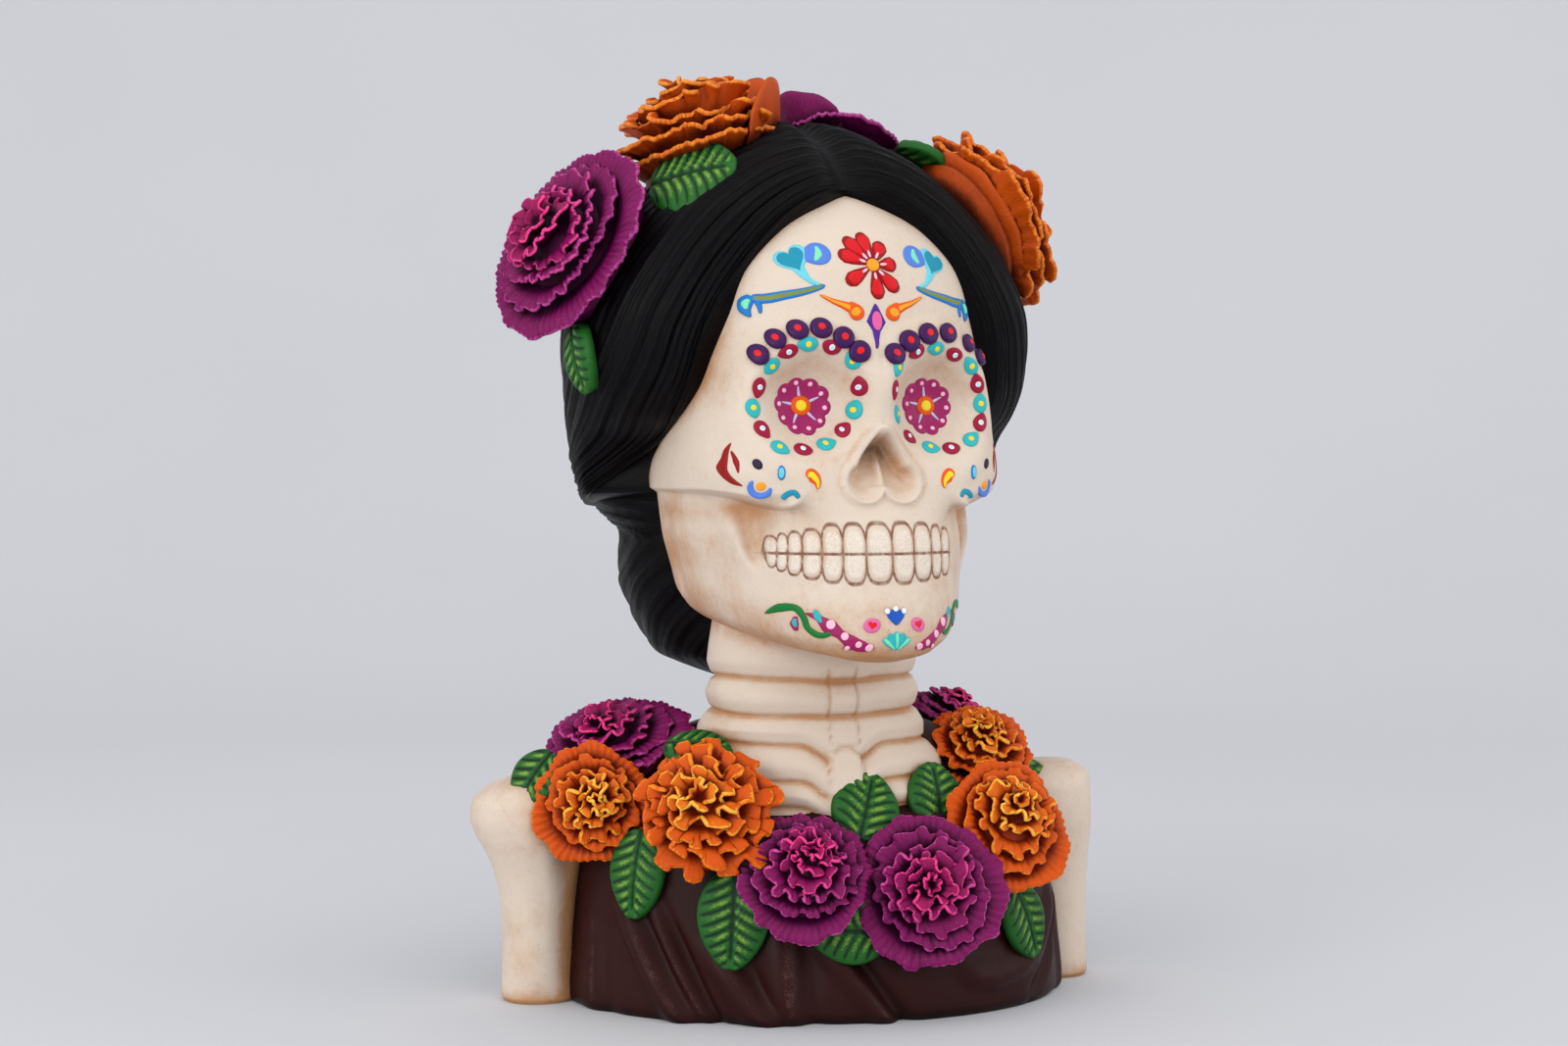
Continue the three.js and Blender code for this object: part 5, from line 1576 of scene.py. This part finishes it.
def chin_ornament(side):
    """On each side of the chin: a heart on a pink dab, a garland with dots, its buds, and a green vine."""
    return [
        dab(side * 7.0, 116.4, DUSKY_PINK, round_edge(2.5, 2.0, -side * 20)),
        dab(side * 6.9, 116.5, SCARLET, heart_edge(1.25, side * 10), lift=0.2, base=0.4),
        stroke(
            [[22.6, 119.6], [20.0, 118.4], [17.4, 116.0], [14.6, 113.6], [11.6, 111.4], [8.6, 110.2],
             [6.2, 109.9]],
            [0.9, 1.8, 4.2, 2.6, 3.8, 3.4, 1.2], MAGENTA, side=side),
        *[dot(side * x, z, PALE_PINK, size, 0.25, 0.35, 18) for x, z, size in CHIN_DOTS],
        stroke([[13.8, 110.4], [12.6, 110.2], [11.8, 111.2]], [1.2, 2.0, 1.4], MAGENTA, side=side),
        stroke(
            [[30.0, 118.9], [27.4, 120.8], [24.6, 120.9], [23.0, 118.6], [21.8, 115.2], [19.4, 113.4],
             [16.6, 114.2]],
            [0.9, 2.6, 1.9, 1.4, 1.4, 1.8, 1.4], GREEN, side=side),
        stroke([[24.4, 118.6], [24.6, 116.6], [24.0, 114.4]], [0.8, 1.8, 0.8], MAGENTA, side=side),
        stroke([[24.4, 118.0], [24.5, 116.8], [24.1, 115.6]], [0.6, 1.0, 0.6], TEAL, 0.2, None, 0.35, side),
        stroke([[20.6, 120.6], [20.0, 118.8], [19.0, 117.0]], [0.8, 1.8, 0.8], TEAL, 0.3, None, 0.2, side),
    ]


# The place and the size of each dot of the garland on the chin.
CHIN_DOTS = [[17.0, 116.6, 1.3], [13.8, 113.4, 1.1], [10.4, 111.2, 0.9], [7.6, 110.3, 1.1],
             [12.9, 110.2, 0.8]]
# The angle in degrees and the length in mm of each petal of the red flower.
RED_PETALS = [
    [131, 10.8], [101, 10.0], [58, 8.2], [4, 7.6], [-45, 10.4], [-84, 9.9], [-147.5, 10.0], [160, 10.4],
]
RED_FLOWER = np.array([0.5, 218.0])
SHELL_HINGE = np.array([0.0, 109.4])


def middle_ornament():
    """Down the middle: a red flower of eight petals, a violet diamond, a blue fan with dots, and a pale
    shell."""
    parts = []
    for degrees, length in RED_PETALS:
        turn = math.radians(degrees)
        parts.append(stroke(spoke(RED_FLOWER, turn, 1.2, length, 5), [1.0, 2.6, 4.1, 4.8, 2.6], BLOOD, 0.35))
        inner = spoke(RED_FLOWER, turn, 3.6, length - 1.1, 4)
        parts.append(stroke(inner, [1.1, 2.6, 3.8, 2.5], RED, 0.3, base=0.32))
        ray = spoke(RED_FLOWER, turn, 2.2, 4.6, 3)
        parts.append(stroke(ray, [0.5, 0.8, 0.3], PALE_PINK, 0.15, base=0.55))
    parts.append(dot(*RED_FLOWER, AMBER, 1.9, 0.6, 0.3))
    parts.append(stroke(
        [[0.2, 207.0], [0.2, 203.6], [0.1, 200.6], [-0.2, 197.2], [-0.4, 195.2], [-0.9, 194.0]],
        [0.8, 3.4, 6.2, 2.6, 1.5, 1.0], PURPLE))
    parts.append(dab(0.3, 202.0, PINK, round_edge(1.5, 2.8), lift=0.2, base=0.4))
    parts.append(stroke([[0.0, 120.8], [0.0, 118.6], [0.0, 116.4]], [6.3, 5.2, 0.9], ROYAL))
    for x, z in ((-2.5, 120.3), (0.0, 120.9), (2.5, 120.3)):
        parts.append(dot(x, z, WHITE, 0.78, 0.25, 0.3, 14))
    for k in range(5):
        rib = spoke(SHELL_HINGE, math.radians(40 + 25 * k), 0.4, 5.2, 4)
        parts.append(stroke(rib, [1.0, 1.6, 2.1, 1.6], TEAL, stripe=None if k % 2 else MINT))
    return parts


def make_ornament():
    """All the painted ornament, as one object for each part of the face."""
    makers = {
        "eye_ornament": eye_ornament, "brow_ornament": brow_ornament, "cheek_ornament": cheek_ornament,
        "chin_ornament": chin_ornament}
    for name, maker in makers.items():
        add_piece(name, maker(-1) + maker(1), ornament_finish)
    add_piece("middle_ornament", middle_ornament(), ornament_finish)


make_ornament()


# Table, backdrop and light

# In metres: where the sheet starts in front, where it bends, the bend's radius, the wall's top and half the
# width.
SWEEP_FRONT, SWEEP_BEND, SWEEP_RADIUS, SWEEP_TOP, SWEEP_HALF_WIDTH = -1.6, 0.7, 0.9, 3.2, 3.2


def make_sweep():
    """A pale sheet: a profile, flat under the part and then a quarter round up to a wall, drawn sideways."""
    turn = np.radians(np.linspace(0, 90, 25))
    bend = SWEEP_RADIUS * np.stack([np.sin(turn), 1 - np.cos(turn)], -1) + [SWEEP_BEND, 0.0]
    profile = np.concatenate([[[SWEEP_FRONT, 0.0]], bend, [[SWEEP_BEND + SWEEP_RADIUS, SWEEP_TOP]]])
    across = np.array([-SWEEP_HALF_WIDTH, SWEEP_HALF_WIDTH])
    spots = profile[:, None, :1] * AHEAD + across[None, :, None] * RIGHT
    points = np.concatenate([spots, np.broadcast_to(profile[:, None, 1:], spots.shape[:2] + (1,))], -1)
    faces = cells(numbered(len(profile), 2))[:, ::-1]
    mesh = bpy.data.meshes.new("sweep")
    mesh.from_pydata(listed(points).tolist(), [], faces.tolist())
    mesh.polygons.foreach_set("use_smooth", np.ones(len(faces), bool))
    material = bpy.data.materials.new("sweep_paper")
    material.use_nodes = True
    n = Nodes(material.node_tree)
    surface = material.node_tree.nodes["Principled BSDF"]
    cloud = n.noise(n.place(), 3.0, 2.0)
    n.put(surface.inputs["Base Color"], n.blend(cloud, shade(205, 207, 212), shade(212, 213, 217)))
    surface.inputs["Roughness"].default_value = 0.8
    mesh.materials.append(material)
    sweep = bpy.data.objects.new("sweep", mesh)
    bpy.context.scene.collection.objects.link(sweep)


def add_light(name, place, aim, size, power):
    """A square soft light at a place, facing a point."""
    data = bpy.data.lights.new(name, "AREA")
    data.shape = "SQUARE"
    data.size = size
    data.energy = power
    light = bpy.data.objects.new(name, data)
    way = np.array(aim) - np.array(place)
    flat = math.hypot(way[0], way[1])
    light.rotation_euler = (math.atan2(flat, -way[2]), 0.0, math.atan2(way[1], way[0]) - math.pi / 2)
    light.location = place
    bpy.context.scene.collection.objects.link(light)


def make_light():
    """Soft studio light: a large light over the front, one from each side, and an even pale surround."""
    add_light("over_light", (-0.25, -0.7, 1.35), (0.0, 0.0, 0.12), 1.3, 3.0)
    add_light("left_light", (-1.3, -0.75, 0.55), (0.0, 0.0, 0.14), 0.9, 6.6)
    add_light("right_light", (1.2, -0.9, 0.6), (0.0, 0.0, 0.14), 0.9, 3.1)
    world = bpy.data.worlds.new("surround")
    world.use_nodes = True
    background = world.node_tree.nodes["Background"].inputs
    background["Color"].default_value = (0.99, 0.99, 1.0, 1.0)
    background["Strength"].default_value = 0.91
    bpy.context.scene.world = world
    bpy.context.scene.view_settings.view_transform = "Standard"


make_sweep()
make_light()
